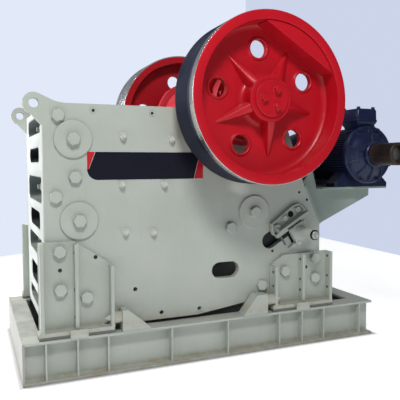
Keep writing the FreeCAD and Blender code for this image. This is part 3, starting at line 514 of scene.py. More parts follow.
class Effects:
    """Shader effects that several finishes use, each built once as a node group."""

    def __init__(self) -> None:
        """Build the groups."""
        self.wear = self._edge_wear()
        self.dirt = self._settled_dirt()
        self.skin = self._paint_skin()

    @staticmethod
    def _group(name: str, inputs: dict[str, float],
               outputs: dict[str, str]) -> tuple[bpy.types.NodeTree, Sheet, Sequence[bpy.types.NodeSocket]]:
        """An empty group with named sockets.

        Args:
            name: the group's name.
            inputs: name to default value of each number that goes in.
            outputs: name of each result to its kind, Float or Vector.

        Returns:
            The group, its sheet and the sockets of what goes in.
        """
        tree = bpy.data.node_groups.new(name, "ShaderNodeTree")
        for label, default in inputs.items():
            socket = tree.interface.new_socket(name=label, in_out="INPUT", socket_type="NodeSocketFloat")
            socket.default_value = default
        for label, kind in outputs.items():
            tree.interface.new_socket(name=label, in_out="OUTPUT", socket_type=f"NodeSocket{kind}")
        sheet = Sheet(tree)
        return tree, sheet, sheet.node("NodeGroupInput").outputs

    def _edge_wear(self) -> bpy.types.NodeTree:
        """Mask of exposed edges: where a rounded normal leaves the true one, broken up by noise."""
        tree, sheet, (radius, amount, _) = self._group(
            "edge_wear", {"Radius": 0.004, "Amount": 0.5}, {"Mask": "Float", "Rounded": "Vector"})
        rounded = sheet.node("ShaderNodeBevel", {"Radius": radius}, samples=4).outputs[0]
        true = sheet.node("ShaderNodeNewGeometry").outputs["Normal"]
        along = sheet.node("ShaderNodeVectorMath", {0: rounded, 1: true}, operation="DOT_PRODUCT")
        broken = sheet.noise(sheet.place(), 9.0, 6.0, 0.7)
        bent = sheet.ramp(sheet.minus(1.0, along.outputs["Value"]), 0.02, 0.2)
        level = sheet.plus(sheet.times(bent, 0.6), sheet.minus(broken, 0.62))
        mask = sheet.times(sheet.ramp(level, 0.1, 0.4), amount, True)
        sheet.node("NodeGroupOutput", {0: mask, 1: rounded})
        return tree

    def _settled_dirt(self) -> bpy.types.NodeTree:
        """Dust on ledges, runs down upright faces, and mud at the floor and on the foot pads."""
        tree, sheet, (dust_amount, runs_amount, _) = self._group(
            "settled_dirt", {"Dust": 0.4, "Runs": 0.3}, {"Dust": "Float", "Runs": "Float", "Foot": "Float"})
        place = sheet.place()
        upness = sheet.apart(sheet.node("ShaderNodeNewGeometry").outputs["Normal"])[2]
        height = sheet.apart(place)[2]
        upward = sheet.ramp(upness, 0.35, 0.95)
        patches = sheet.ramp(sheet.noise(place, 6.0, 6.0, 0.65), 0.38, 0.72)
        dust = sheet.times(sheet.times(upward, patches), dust_amount, True)
        streak = sheet.ramp(sheet.noise(sheet.stretched(place, (26.0, 26.0, 1.1)), 1.3, 6.0, 0.65), 0.56, 0.78)
        upright = sheet.ramp(sheet.maths("ABSOLUTE", upness), 0.5, 0.1)
        runs = sheet.times(sheet.times(streak, upright), runs_amount, True)
        low = sheet.ramp(height, 0.085, 0.0)
        pads = sheet.times(sheet.ramp(height, 0.35, 0.36), sheet.ramp(height, 0.47, 0.36))
        ragged = sheet.ramp(sheet.noise(place, 14.0, 5.0, 0.6), 0.3, 0.7)
        foot = sheet.times(sheet.plus(low, sheet.times(pads, 0.55), True), ragged, True)
        sheet.node("NodeGroupOutput", {0: dust, 1: runs, 2: foot})
        return tree

    def _paint_skin(self) -> bpy.types.NodeTree:
        """Height of a sprayed or cast skin: fine orange peel over slow waves, and sand grain."""
        tree, sheet, (grain, casting, _) = self._group(
            "paint_skin", {"Grain": 220.0, "Casting": 0.0}, {"Height": "Float"})
        place = sheet.place()
        fine = sheet.node("ShaderNodeTexNoise", {"Vector": place, "Scale": grain, "Detail": 2.0}).outputs[0]
        waves = sheet.noise(place, 3.5, 3.0)
        sand = sheet.noise(place, 70.0, 4.0, 0.7)
        height = sheet.plus(sheet.times(fine, 0.25), sheet.times(waves, 1.6))
        height = sheet.plus(height, sheet.times(sand, casting))
        sheet.node("NodeGroupOutput", {0: height})
        return tree


# ------------------------------------------------------------------ finishes
@dataclass(frozen=True)
class Paint:
    """A sprayed finish over welded plate or castings."""

    name: str
    colour: Colour
    shade: Colour
    roughness: float = 0.42
    coat: float = 0.15
    worn: Colour = (0.62, 0.62, 0.6)
    wear: float = 0.35
    dust: float = 0.5
    runs: float = 0.3
    foot: float = 0.0
    dust_colour: Colour = (0.42, 0.38, 0.3)
    run_colour: Colour = (0.2, 0.2, 0.17)
    casting: float = 0.0
    depth: float = 0.0006
    specular: float = 0.4
    edge: float = 0.004
    mud: Colour = (0.33, 0.26, 0.16)

    def build(self, effects: Effects) -> bpy.types.Material:
        """The material: two close tones in clouds, dirt, worn edges, and a skin bump.

        Args:
            effects: the shared effects.

        Returns:
            The material.
        """
        material, sheet, place = new_material(self.name)
        wear = sheet.effect(effects.wear, {"Amount": self.wear, "Radius": self.edge})
        dirt = sheet.effect(effects.dirt, {"Dust": self.dust, "Runs": self.runs})
        skin = sheet.effect(effects.skin, {"Casting": self.casting})
        clouds = sheet.ramp(sheet.noise(place, 1.4, 5.0, 0.6), 0.3, 0.72)
        colour = sheet.mix(clouds, rgba(self.colour), rgba(self.shade))
        colour = sheet.mix(dirt["Runs"], colour, rgba(self.run_colour))
        colour = sheet.mix(dirt["Dust"], colour, rgba(self.dust_colour))
        colour = sheet.mix(sheet.times(dirt["Foot"], self.foot, True), colour, rgba(self.mud))
        colour = sheet.mix(wear["Mask"], colour, rgba(self.worn))
        rough = sheet.plus(self.roughness - 0.1, sheet.times(sheet.noise(place, 5.0, 5.0, 0.6), 0.2))
        rough = sheet.plus(rough, sheet.times(dirt["Dust"], 0.3), True)
        bump = sheet.node("ShaderNodeBump", {"Height": skin["Height"], "Normal": wear["Rounded"],
                                             "Distance": self.depth, "Strength": 1.0})
        sheet.surface({"Base Color": colour, "Roughness": rough, "Normal": bump.outputs[0],
                       "Specular IOR Level": self.specular, "Coat Weight": self.coat, "Coat Roughness": 0.25})
        return material


@dataclass(frozen=True)
class Metal:
    """Bare metal, turned, forged or rusted."""

    name: str
    colour: Colour
    stain: Colour
    roughness: float = 0.3
    stained: float = 0.3
    metallic: float = 1.0
    brushed: Sequence[float] = (1.0, 1.0, 1.0)
    depth: float = 0.0003
    scale: float = 60.0
    wear: float = 0.3
    edge: float = 0.002
    dull: float = 0.72

    def build(self, effects: Effects) -> bpy.types.Material:
        """The material: stains in clouds, a directional grain in colour, gloss and bump.

        Args:
            effects: the shared effects.

        Returns:
            The material.
        """
        material, sheet, place = new_material(self.name)
        wear = sheet.effect(effects.wear, {"Amount": self.wear, "Radius": self.edge})
        grain = sheet.noise(sheet.stretched(place, self.brushed), self.scale, 5.0, 0.65)
        stain = sheet.ramp(sheet.noise(place, 4.0, 7.0, 0.7), 0.62 - 0.3 * self.stained,
                           0.8 - 0.2 * self.stained)
        stain = sheet.times(stain, self.stained, True)
        dull = tuple(self.dull * part for part in self.colour)
        colour = sheet.mix(sheet.ramp(grain, 0.3, 0.7), rgba(self.colour), rgba(dull))
        colour = sheet.mix(stain, colour, rgba(self.stain))
        rough = sheet.plus(self.roughness - 0.08, sheet.times(grain, 0.16))
        rough = sheet.plus(rough, sheet.times(stain, 0.35), True)
        metallic = sheet.times(self.metallic, sheet.minus(1.0, stain), True)
        bump = sheet.node("ShaderNodeBump", {"Height": grain, "Normal": wear["Rounded"],
                                             "Distance": self.depth, "Strength": 1.0})
        sheet.surface({"Base Color": colour, "Roughness": rough, "Normal": bump.outputs[0],
                       "Metallic": metallic})
        return material


@dataclass(frozen=True)
class Rubber:
    """Moulded rubber, or near-black painted shade inside holes, with a bloom of dust."""

    name: str
    colour: Colour
    chalk: Colour = (0.11, 0.1, 0.09)
    pit_depth: float = 0.0004

    def build(self, effects: Effects) -> bpy.types.Material:
        """The material: one tone, chalky where dust lies, finely pitted.

        Args:
            effects: the shared effects.

        Returns:
            The material.
        """
        material, sheet, place = new_material(self.name)
        bloom = sheet.ramp(sheet.noise(place, 22.0, 6.0, 0.7), 0.42, 0.8)
        colour = sheet.mix(sheet.times(bloom, 0.5), rgba(self.colour), rgba(self.chalk))
        pits = sheet.noise(place, 300.0, 2.0)
        bump = sheet.node("ShaderNodeBump", {"Height": pits, "Distance": self.pit_depth})
        rough = sheet.plus(0.6, sheet.times(bloom, 0.2))
        sheet.surface({"Base Color": colour, "Roughness": rough, "Normal": bump.outputs[0]})
        return material


FINISHES = (
    Paint("frame_paint", (0.425, 0.46, 0.41), (0.375, 0.41, 0.36), roughness=0.42, coat=0.1, foot=0.8,
          runs=0.16, worn=(0.6, 0.61, 0.58), dust_colour=(0.5, 0.46, 0.38)),
    Paint("casting_paint", (0.58, 0.615, 0.59), (0.51, 0.545, 0.52), roughness=0.4, coat=0.15, casting=1.2,
          depth=0.0009, foot=0.3, runs=0.15),
    # painted shade: casting paint darkened for the insides of recesses and slots
    Paint("painted_shade_recess", (0.14, 0.17, 0.165), (0.09, 0.115, 0.11), roughness=0.55, coat=0.0, casting=1.2,
          depth=0.0009, runs=0.3, wear=0.1, specular=0.2),
    # painted shade: near black for deep windows and the gaps of the wedge guide
    Paint("painted_shade_dark", (0.014, 0.018, 0.02), (0.01, 0.013, 0.014), roughness=0.7, coat=0.0, casting=1.2,
          depth=0.0009, runs=0.1, wear=0.0, dust=0.1, specular=0.1),
    Paint("buffer_pale", (0.44, 0.45, 0.38), (0.36, 0.36, 0.29), roughness=0.55, coat=0.0, dust=0.5,
          runs=0.3, wear=0.2),
    Paint("bolt_paint", (0.43, 0.465, 0.41), (0.38, 0.415, 0.37), roughness=0.36, wear=0.6, dust=0.3, runs=0.1),
    Paint("wheel_red", (0.46, 0.004, 0.013), (0.38, 0.003, 0.009), roughness=0.36, coat=0.12, specular=0.28,
          worn=(0.62, 0.08, 0.09), wear=0.5, dust=0.08, runs=0.08, run_colour=(0.16, 0.003, 0.008),
          casting=0.35, depth=0.0006),
    Paint("housing_red", (0.6, 0.03, 0.045), (0.52, 0.02, 0.035), roughness=0.4, coat=0.2,
          worn=(0.7, 0.2, 0.18), dust=0.3, casting=0.6),
    Paint("belt_band", (0.006, 0.0085, 0.026), (0.004, 0.006, 0.019), roughness=0.4, coat=0.0, specular=0.22,
          worn=(0.08, 0.085, 0.11), wear=0.35, dust=0.05, runs=0.1, run_colour=(0.02, 0.02, 0.03)),
    Paint("motor_navy", (0.007, 0.0135, 0.052), (0.0048, 0.0092, 0.036), roughness=0.34, coat=0.1, specular=0.3,
          worn=(0.1, 0.13, 0.22), wear=0.45, dust=0.25, dust_colour=(0.16, 0.18, 0.24), casting=0.5),
    Paint("name_band", (0.007, 0.008, 0.016), (0.006, 0.007, 0.013), roughness=0.3, coat=0.0, wear=0.0,
          specular=0.2, dust=0.0, runs=0.05, run_colour=(0.05, 0.05, 0.06), depth=0.0001),
    Paint("band_red", (0.5, 0.008, 0.018), (0.46, 0.007, 0.016), roughness=0.3, coat=0.3, wear=0.0,
          dust=0.0, runs=0.0, depth=0.0001),
    Paint("band_edge", (0.6, 0.62, 0.6), (0.55, 0.58, 0.55), roughness=0.35, wear=0.0, dust=0.0, runs=0.0,
          depth=0.0001),
    Metal("bare_steel", (0.92, 0.92, 0.92), (0.45, 0.42, 0.4), roughness=0.27, stained=0.15,
          brushed=(1.0, 14.0, 1.0), scale=40.0),
    # painted shade: the frame paint made darker and greener for the motor bracket
    Paint("bracket_paint_shaded", (0.29, 0.35, 0.315), (0.25, 0.305, 0.275), roughness=0.42, coat=0.1, runs=0.16,
          worn=(0.6, 0.61, 0.58)),
    Paint("channel_paint", (0.34, 0.345, 0.315), (0.29, 0.3, 0.27), roughness=0.45, coat=0.1, foot=0.8,
          runs=0.25, dust_colour=(0.62, 0.6, 0.54)),
    Paint("stud_paint", (0.56, 0.585, 0.53), (0.46, 0.48, 0.43), roughness=0.4, wear=0.4, dust=0.2, runs=0.1),
    Metal("stud_steel", (0.6, 0.61, 0.58), (0.3, 0.27, 0.2), roughness=0.38, stained=0.3),
    Metal("sleeve_iron", (0.02, 0.015, 0.013), (0.045, 0.016, 0.009), roughness=0.5, stained=0.8,
          metallic=0.5, depth=0.0008),
    Metal("shaft_steel", (0.4, 0.39, 0.37), (0.15, 0.1, 0.06), roughness=0.3, stained=0.3),
    Metal("jaw_steel", (0.12, 0.115, 0.11), (0.08, 0.05, 0.032), roughness=0.5, stained=0.6,
          metallic=0.75, depth=0.0012, scale=18.0),
    Metal("wedge_steel", (0.03, 0.034, 0.036), (0.05, 0.036, 0.028), roughness=0.42, stained=0.35,
          metallic=0.6),
    Rubber("pad_rubber", (0.15, 0.16, 0.145)),
    # painted shade: near black for the insides of holes
    Rubber("painted_shade_hole", (0.004, 0.004, 0.004)),
)


# ------------------------------------------------------------------ workshop
class Workshop:
    """Turns shells into finished objects on their bodies."""

    def __init__(self) -> None:
        """Build every finish."""
        effects = Effects()
        self.finishes = {finish.name: finish.build(effects) for finish in FINISHES}

    def piece(self, name: str, shell: Shell, finish: str, body: Body, bevel: float = 0.0,
              replaces: Sequence[str] = (), smooth: float = 35.0) -> bpy.types.Object:
        """Make one finished object.

        Args:
            name: the piece's name.
            shell: its surface, in the model's frame.
            finish: the name of its finish.
            body: the body that it rides on.
            bevel: width of the rounded edges, 0 for none.
            replaces: the CAD nodes that it stands for.
            smooth: edges sharper than this many degrees stay sharp.

        Returns:
            The object.
        """
        mesh = bpy.data.meshes.new(name)
        mesh.from_pydata(shell.points.tolist(), [], shell.faces)
        work = bmesh.new()
        work.from_mesh(mesh)
        bmesh.ops.remove_doubles(work, verts=work.verts, dist=2e-5)
        bmesh.ops.dissolve_degenerate(work, edges=work.edges, dist=1e-6)
        bmesh.ops.recalc_face_normals(work, faces=work.faces)
        work.to_mesh(mesh)
        work.free()
        mesh.shade_smooth()
        mesh.set_sharp_from_angle(angle=math.radians(smooth))
        made = bpy.data.objects.new(name, mesh)
        bpy.context.scene.collection.objects.link(made)
        mesh.materials.append(self.finishes[finish])
        if bevel:
            edge = made.modifiers.new("rounded_edges", "BEVEL")
            edge.width, edge.segments, edge.limit_method = bevel, 2, "ANGLE"
            edge.angle_limit = math.radians(smooth)
            edge.harden_normals = True
        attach(made, body.value)
        if replaces:
            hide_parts(*replaces)
        LOG.info("piece %s: %d faces, %s", name, len(mesh.polygons), finish)
        return made

    def dress(self, finish: str, *nodes: str) -> None:
        """Give CAD nodes a finish.

        Args:
            finish: the finish's name.
            nodes: the nodes' names.
        """
        for node in nodes:
            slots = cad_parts[node].material_slots
            if not slots:
                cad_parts[node].data.materials.append(self.finishes[finish])
            for place in slots:
                place.material = self.finishes[finish]


def box(node: str) -> tuple[Array, Array]:
    """A CAD node's low and high corners as arrays."""
    low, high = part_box(node)
    return np.array(low, float), np.array(high, float)


def both(name: str) -> tuple[str, str]:
    """The near and far nodes of one name."""
    return f"{name}_near", f"{name}_far"


def outermost(node: str) -> float:
    """How far a CAD node reaches from the middle plane."""
    low, high = box(node)
    return max(abs(low[1]), abs(high[1]))


def circle(centre: Array, radius: float, angles: Iterable[float], y: float) -> list[Triple]:
    """Places on a circle round an axis along Y."""
    return [(centre[0] + radius * math.cos(a), y, centre[2] + radius * math.sin(a)) for a in angles]


# ------------------------------------------------------------------ flywheels
@dataclass
class Flywheel:
    """One flywheel with its belt band, bare strip, counterweight and hub cap."""

    side: Side
    rim: float = 0.08
    web_inset: float = 0.19
    web: float = 0.04
    hub: float = 0.185
    hub_inset: float = 0.05
    bore: float = 0.115
    eye: float = 0.075
    lip: float = 0.02
    lip_height: float = 0.013
    eye_circle: float = 0.423
    eye_angle: float = math.radians(96.3)
    spokes: int = 5
    rib_tip: float = 0.475
    rib_height: float = 0.13
    rib_half: float = 0.046
    rib_edge: float = 0.01
    weight_angle: float = math.radians(59)
    weight_half_angle: float = math.radians(36.5)
    weight_inset: float = 0.012
    band_skin: float = 0.011
    strip: Pair = (0.318, 0.399)
    groove_pitch: float = 0.0235
    groove_depth: float = 0.009
    cap: float = 0.148
    cap_inset: float = 0.028
    cap_bolt_circle: float = 0.081
    cap_bolt: HexBolt = HexBolt(flats=0.055, height=0.03, washer=0.036, washer_thick=0.005)
    first_rib: float = math.radians(132.3)
    hub_fillet: Pair = (0.05, 0.034)
    rim_fillet: Pair = (0.055, 0.03)
    segments: int = 160

    def __post_init__(self) -> None:
        """Read the wheel's place and size."""
        low, high = box(f"flywheel_rim_{self.side.word}")
        self.axis = (low + high) / 2
        self.radius = (high[2] - low[2]) / 2
        self.width = high[1] - low[1]
        self.inner = min(abs(low[1]), abs(high[1]))
        self.web_face = self.width - self.web_inset

    def build(self, shop: Workshop) -> None:
        """Make the wheel's pieces.

        Args:
            shop: makes the pieces.
        """
        word = self.side.word
        ribs = together(self.rib(self.first_rib + index * TURN / self.spokes) for index in range(self.spokes))
        webs = [self.web_sector(index) for index in range(self.spokes)]
        casting = together([self.rim_ring(), self.hub_boss(), *webs])
        shop.piece(f"flywheel_{word}_casting", self.mounted(casting), "wheel_red", Body.SHAFT,
                   replaces=[f"flywheel_{word}", f"flywheel_rim_{word}"])
        shop.piece(f"flywheel_{word}_ribs", self.mounted(ribs), "wheel_red", Body.SHAFT, smooth=62)
        shop.piece(f"flywheel_{word}_counterweight", self.mounted(self.counterweight()), "wheel_red",
                   Body.SHAFT, bevel=0.004)
        shop.piece(f"flywheel_{word}_belt_band", self.mounted(self.belt_band()),
                   "belt_band" if self.side is Side.NEAR else "bare_steel", Body.SHAFT)
        shop.piece(f"flywheel_{word}_bare_strip", self.mounted(self.bare_strip()), "bare_steel", Body.SHAFT)
        shop.piece(f"flywheel_{word}_cap", self.mounted(self.end_cap()), "wheel_red", Body.SHAFT,
                   replaces=[f"hub_cap_{word}"])

    def mounted(self, shell: Shell) -> Shell:
        """Local X to X, Y to Z and Z outwards along the axis, from the rim's inner face."""
        placed = shell.placed((self.axis[0], self.inner, self.axis[2]), UPRIGHT)
        return placed.on_side(self.side)

    def rim_ring(self) -> Shell:
        """The rim under the band, its outer edge rounded, with fillets down to the web."""
        inner, outer = self.radius - self.rim, self.radius - self.band_skin
        face, edge = self.width, 0.006
        angles = np.linspace(0, math.pi / 2, 5)
        lip = [(self.radius - 0.002 - edge * (1 - math.cos(a)), face - edge * (1 - math.sin(a)))
               for a in angles]
        profile = [(inner + 0.004, 0), (outer, 0), (outer, self.strip[1] - 0.001),
                   (self.radius - 0.002, self.strip[1] - 0.001), *lip,
                   (inner + 0.012, face), (inner + 0.004, face - 0.003), (inner, face - 0.012),
                   (inner, 0.008)]
        return turned(profile, self.segments)

    def belt_band(self) -> Shell:
        """Belt-grooved band: flat lands with V grooves at an even pitch."""
        start, end = 0.016, self.strip[0] - 0.02
        count = int((end - start) / self.groove_pitch)
        lands = start + np.arange(count + 1) * self.groove_pitch
        outer = [(self.radius - 0.002, 0.0), (self.radius, 0.003)]
        for low, high in zip(lands[:-1], lands[1:]):
            middle = (low + high) / 2
            outer += [(self.radius, low + 0.003), (self.radius - self.groove_depth, middle - 0.0025),
                      (self.radius - self.groove_depth, middle + 0.0025), (self.radius, high - 0.003)]
        outer += [(self.radius, self.strip[0] - 0.001)]
        inner = self.radius - self.band_skin
        return turned([(inner, 0.0), *outer, (inner, self.strip[0] - 0.001)], self.segments)

    def bare_strip(self) -> Shell:
        """Machined strip at the rim's outer edge, left bright."""
        low, high = self.strip
        inner = self.radius - self.band_skin
        profile = [(inner, low), (self.radius - 0.001, low), (self.radius, low + 0.002),
                   (self.radius, high - 0.003), (self.radius - 0.002, high - 0.001), (inner, high - 0.001)]
        return turned(profile, self.segments)

    def web_height(self, radius: Array) -> Array:
        """Web face with fillets up to the hub and the rim, each wide by tall.

        A fillet rises by tall * (1 - sqrt(1 - 0.999 near^2)), near going from 0 to 1 across it.

        Args:
            radius: distances from the axis.

        Returns:
            The heights there.
        """
        (hub_wide, hub_tall), (rim_wide, rim_tall) = self.hub_fillet, self.rim_fillet
        near_hub = np.clip((self.hub + hub_wide - radius) / hub_wide, 0, 1)
        near_rim = np.clip((radius - (self.radius - self.rim - rim_wide)) / rim_wide, 0, 1)
        return (self.web_face + hub_tall * (1 - np.sqrt(1 - near_hub ** 2 * 0.999))
                + rim_tall * (1 - np.sqrt(1 - near_rim ** 2 * 0.999)))

    def web_sector(self, index: int) -> Shell:
        """One fifth of the web round its opening.

        Each ray from the opening's centre runs to the sector's edge, where it meets the hub,
        the rim or one of the two radial cuts first.  Rows step along the rays, so the surface
        is a closed sleeve: back, wall of the opening, raised lip, web face, edge.

        Args:
            index: which fifth.

        Returns:
            The sector.
        """
        half = math.pi / self.spokes
        inner, outer = self.hub - 0.012, self.radius - self.rim + 0.004
        corners = [math.atan2(sign * radius * math.sin(half), radius * math.cos(half) - self.eye_circle)
                   for radius in (inner, outer) for sign in (-1, 1)]
        phi = np.unique(np.round(np.concatenate([np.arange(120) * TURN / 120, np.mod(corners, TURN)]), 7))
        count = len(phi)
        ray = np.stack([np.cos(phi), np.sin(phi)], axis=1)
        centre = np.array([self.eye_circle, 0.0])
        reach, at_cut = np.full(count, np.inf), np.zeros(count, bool)
        for radius in (inner, outer):
            b = ray @ centre
            root = b ** 2 - (centre @ centre - radius ** 2)
            hit = np.sqrt(np.maximum(root, 0))
            for distance in (-b - hit, -b + hit):
                good = (root > 0) & (distance > 1e-6)
                reach = np.where(good & (distance < reach), distance, reach)
        for sign in (-1, 1):
            normal = np.array([-math.sin(sign * half), math.cos(sign * half)])
            slope = ray @ normal
            distance = np.where(np.abs(slope) > 1e-9,
                                -(centre @ normal) / np.where(slope == 0, 1, slope), np.inf)
            at_cut |= (distance > 1e-6) & (distance < reach + 1e-6)
            reach = np.where((distance > 1e-6) & (distance < reach), distance, reach)
        back = self.web_face - self.web
        lip = np.array([0.0, 0.05, 0.2, 0.5, 0.8, 1.0])
        rise = self.lip_height * np.array([0.55, 0.9, 1.0, 0.95, 0.45, 0.0])
        rows: list[Array] = []

        def row(distance: Array, height: float | None = None, up: float = 0.0) -> None:
            """A ring of points at a height, or up from the web's face where no height is given."""
            flat = centre + distance[:, None] * ray
            face = self.web_height(np.linalg.norm(flat, axis=1)) + up
            rows.append(np.column_stack([flat, face if height is None else np.full(count, height)]))

        edge, lip_wide = 0.004, self.lip * 1.3
        lip_edge = self.eye + lip_wide
        row(reach, back)
        row(np.full(count, self.eye + edge), back)
        row(np.full(count, self.eye), back + edge)
        for share, up in zip(lip, rise):
            rounding = edge * (share > 0) * (share < 0.1)
            row(np.full(count, self.eye + rounding + lip_wide * share), up=up)
        for share in np.linspace(0, 1, 15)[1:]:
            row(lip_edge + share * (reach - lip_edge))
        sleeve = grid(np.stack(rows), wrap_u=True, wrap_v=True)
        last = (len(rows) - 1) * count
        walls = {frozenset((col, after, last + col, last + after)) for col, after in
                 zip(range(count), np.roll(np.arange(count), -1).tolist()) if at_cut[col] and at_cut[after]}
        sleeve = Shell(sleeve.points, [face for face in sleeve.faces if frozenset(face) not in walls])
        return sleeve.placed((0, 0, 0), spun(self.eye_angle + index * TURN / self.spokes))

    def hub_boss(self) -> Shell:
        """Hub, bored for the shaft, chamfered at both ends, with a collar at its outer end."""
        low, high = 0.02, self.width - self.hub_inset
        return turned([(self.bore, low), (self.hub - 0.008, low), (self.hub, low + 0.008),
                       (self.hub, self.web_face), (self.hub - 0.004, high - 0.03),
                       (self.hub + 0.002, high - 0.026), (self.hub + 0.002, high - 0.005),
                       (self.hub - 0.003, high), (self.bore, high)], 96)

    def rib(self, angle: float) -> Shell:
        """A rib: a flat sloping top that narrows from the hub to a point on the web.

        Args:
            angle: its angle round the axis.

        Returns:
            The rib.
        """
        foot, root, tip = self.web_face - 0.006, self.hub - 0.02, self.rib_tip
        top = self.web_face + self.rib_height
        spread = 1.25
        rings = []
        for radius, half, height in ((root, self.rib_half, top), (tip, 0.011, self.web_face - 0.001)):
            edge = self.rib_edge * half / self.rib_half
            rings.append(np.array([(radius, -half * spread, foot), (radius, half * spread, foot),
                                   (radius, half * 0.86, height - edge), (radius, half * 0.68, height),
                                   (radius, -half * 0.68, height), (radius, -half * 0.86, height - edge)]))
        return lofted(rings).placed((0, 0, 0), spun(angle))

    def counterweight(self) -> Shell:
        """Segment of a disc between a chord and the rim, a hair's breadth inside the rim."""
        radius = self.radius - self.rim - 0.005
        angle = self.weight_angle + np.linspace(-1, 1, 40) * self.weight_half_angle
        outline = radius * np.stack([np.cos(angle), np.sin(angle)], axis=1)
        return prism(outline, self.web_face - 0.005, self.width - self.weight_inset)

    def end_cap(self) -> Shell:
        """Disc over the shaft end with three hexagon bolts."""
        low, high = self.width - self.hub_inset, self.width - self.cap_inset
        cover = disc(self.cap, low, high - 0.005, self.cap - 0.005, high, 80)
        places = [(self.cap_bolt_circle * math.cos(a), self.cap_bolt_circle * math.sin(a), high)
                  for a in math.pi + np.arange(3) * TURN / 3]
        return together([cover, self.cap_bolt.at(places, "+Z")])


# ------------------------------------------------------------------ frame
@dataclass
class FrontCasting:
    """Ribbed front end: rows of round-cornered windows, each lined with a cup of painted shade, near black in
    the narrow deeper ones and dark grey in the wider ones, which hold nuts.

    A row is the window's low and high edge, its half width and its depth.
    """

    corner: float = 0.055
    draft: float = 0.02
    narrow: float = 0.45
    shade_cup_start: float = 0.009
    back: float = 0.19
    rows: Sequence[Row] = (
        (0.415, 0.545, 0.52, 0.16), (0.617, 0.795, 0.4, 0.18), (0.894, 1.061, 0.54, 0.16),
        (1.132, 1.283, 0.4, 0.18), (1.361, 1.580, 0.54, 0.16), (1.7, 1.825, 0.4, 0.18),
        (1.941, 2.085, 0.52, 0.16))
    nut: HexBolt = HexBolt(flats=0.075, height=0.05, washer=0.055, washer_thick=0.008, stud=0.03)
    nut_places: Row = (-0.36, -0.12, 0.12, 0.36)

    def build(self, shop: Workshop) -> None:
        """Make the casting and the nuts in its wider windows.

        Args:
            shop: makes the pieces.
        """
        low, high = box("front_casting")
        edges = [low[2]] + [(a[1] + b[0]) / 2 for a, b in zip(self.rows[:-1], self.rows[1:])] + [high[2]]
        cells = [self.cell(low, high, bottom, top, row)
                 for bottom, top, row in zip(edges[:-1], edges[1:], self.rows)]
        back = slab((low[0] + self.back, low[1], low[2]), high)
        shop.piece("front_casting_ribs", together(cells + [back]), "casting_paint", Body.FRAME,
                   replaces=["front_casting"], smooth=50)
        # painted shade: dark cups inside the windows, near black in the narrow ones, dark grey in the wide ones
        for name, finish, narrow in (("front_casting_deep_window_shade", "painted_shade_dark", True),
                                     ("front_casting_recess_shade", "painted_shade_recess", False)):
            shade_cups = [self.shade_cup(low[0], row) for row in self.rows if (row[2] < self.narrow) == narrow]
            shop.piece(name, together(shade_cups), finish, Body.FRAME)
        places = [(low[0] + depth - 0.005, y, (bottom + top) / 2)
                  for bottom, top, half, depth in self.rows if half > 0.45
                  for y in self.nut_places]
        shop.piece("front_casting_nuts", self.nut.at(places, "-X"), "bolt_paint", Body.FRAME)

    def shade_cup(self, face: float, row: Row) -> Shell:
        """Inside of a window: a thin cup a hair inside its walls, coloured as painted shade.

        Args:
            face: X of the casting's face.
            row: the window's row.

        Returns:
            The lining.
        """
        start, end, half, depth = row
        window = rounded_outline(2 * half, end - start, self.corner, 7)
        centre = np.array([0.0, (start + end) / 2])
        rings = []
        for inset, deep in ((self.draft + 0.002, depth - 0.001), (0.002, self.shade_cup_start),
                            (0.005, self.shade_cup_start), (self.draft + 0.005, depth - 0.004)):
            ring = window - np.sign(window) * inset
            rings.append(np.column_stack([np.full(len(ring), face + deep), ring + centre]))
        return lofted(rings)

    def cell(self, low: Array, high: Array, bottom: float, top: float, row: Row) -> Shell:
        """One row of the casting: rings from its outer edge to the window and down its walls.

        The outer ring is a rectangle whose points line up with those of the rounded window,
        so each ring is the one before it with every point moved a little way.

        Args:
            low: the casting's low corner.
            high: its high corner.
            bottom: Z where the cell starts.
            top: Z where it ends.
            row: the window's row.

        Returns:
            The cell.
        """
        start, end, half, depth = row
        window = rounded_outline(2 * half, end - start, self.corner, 7)
        centre = np.array([0.0, (start + end) / 2])
        width = high[1] - low[1]
        reach = np.array([width / 2, max(top - centre[1], 1e-3)])
        drop = np.array([width / 2, max(centre[1] - bottom, 1e-3)])
        outer = np.where(window[:, 1:] > 0, np.sign(window) * reach, np.sign(window) * drop)
        inside = np.abs(window[:, 0]) < half - self.corner + 1e-6
        outer[inside, 0] = window[inside, 0] * (width / 2) / (half - self.corner)
        level = np.abs(window[:, 1]) < (end - start) / 2 - self.corner + 1e-6
        outer[level, 1] = np.sign(window[level, 1]) * np.where(window[level, 1] > 0, reach[1], drop[1])
        ways, edge = np.sign(window), 0.006
        steps = ((outer, self.back), (outer, 0.0), (window + ways * edge, 0.0), (window, edge),
                 (window - ways * self.draft * 0.5, depth * 0.55), (window - ways * self.draft, depth))
        rings = [np.column_stack([np.full(len(ring), low[0] + deep), ring + centre]) for ring, deep in steps]
        return lofted(rings)


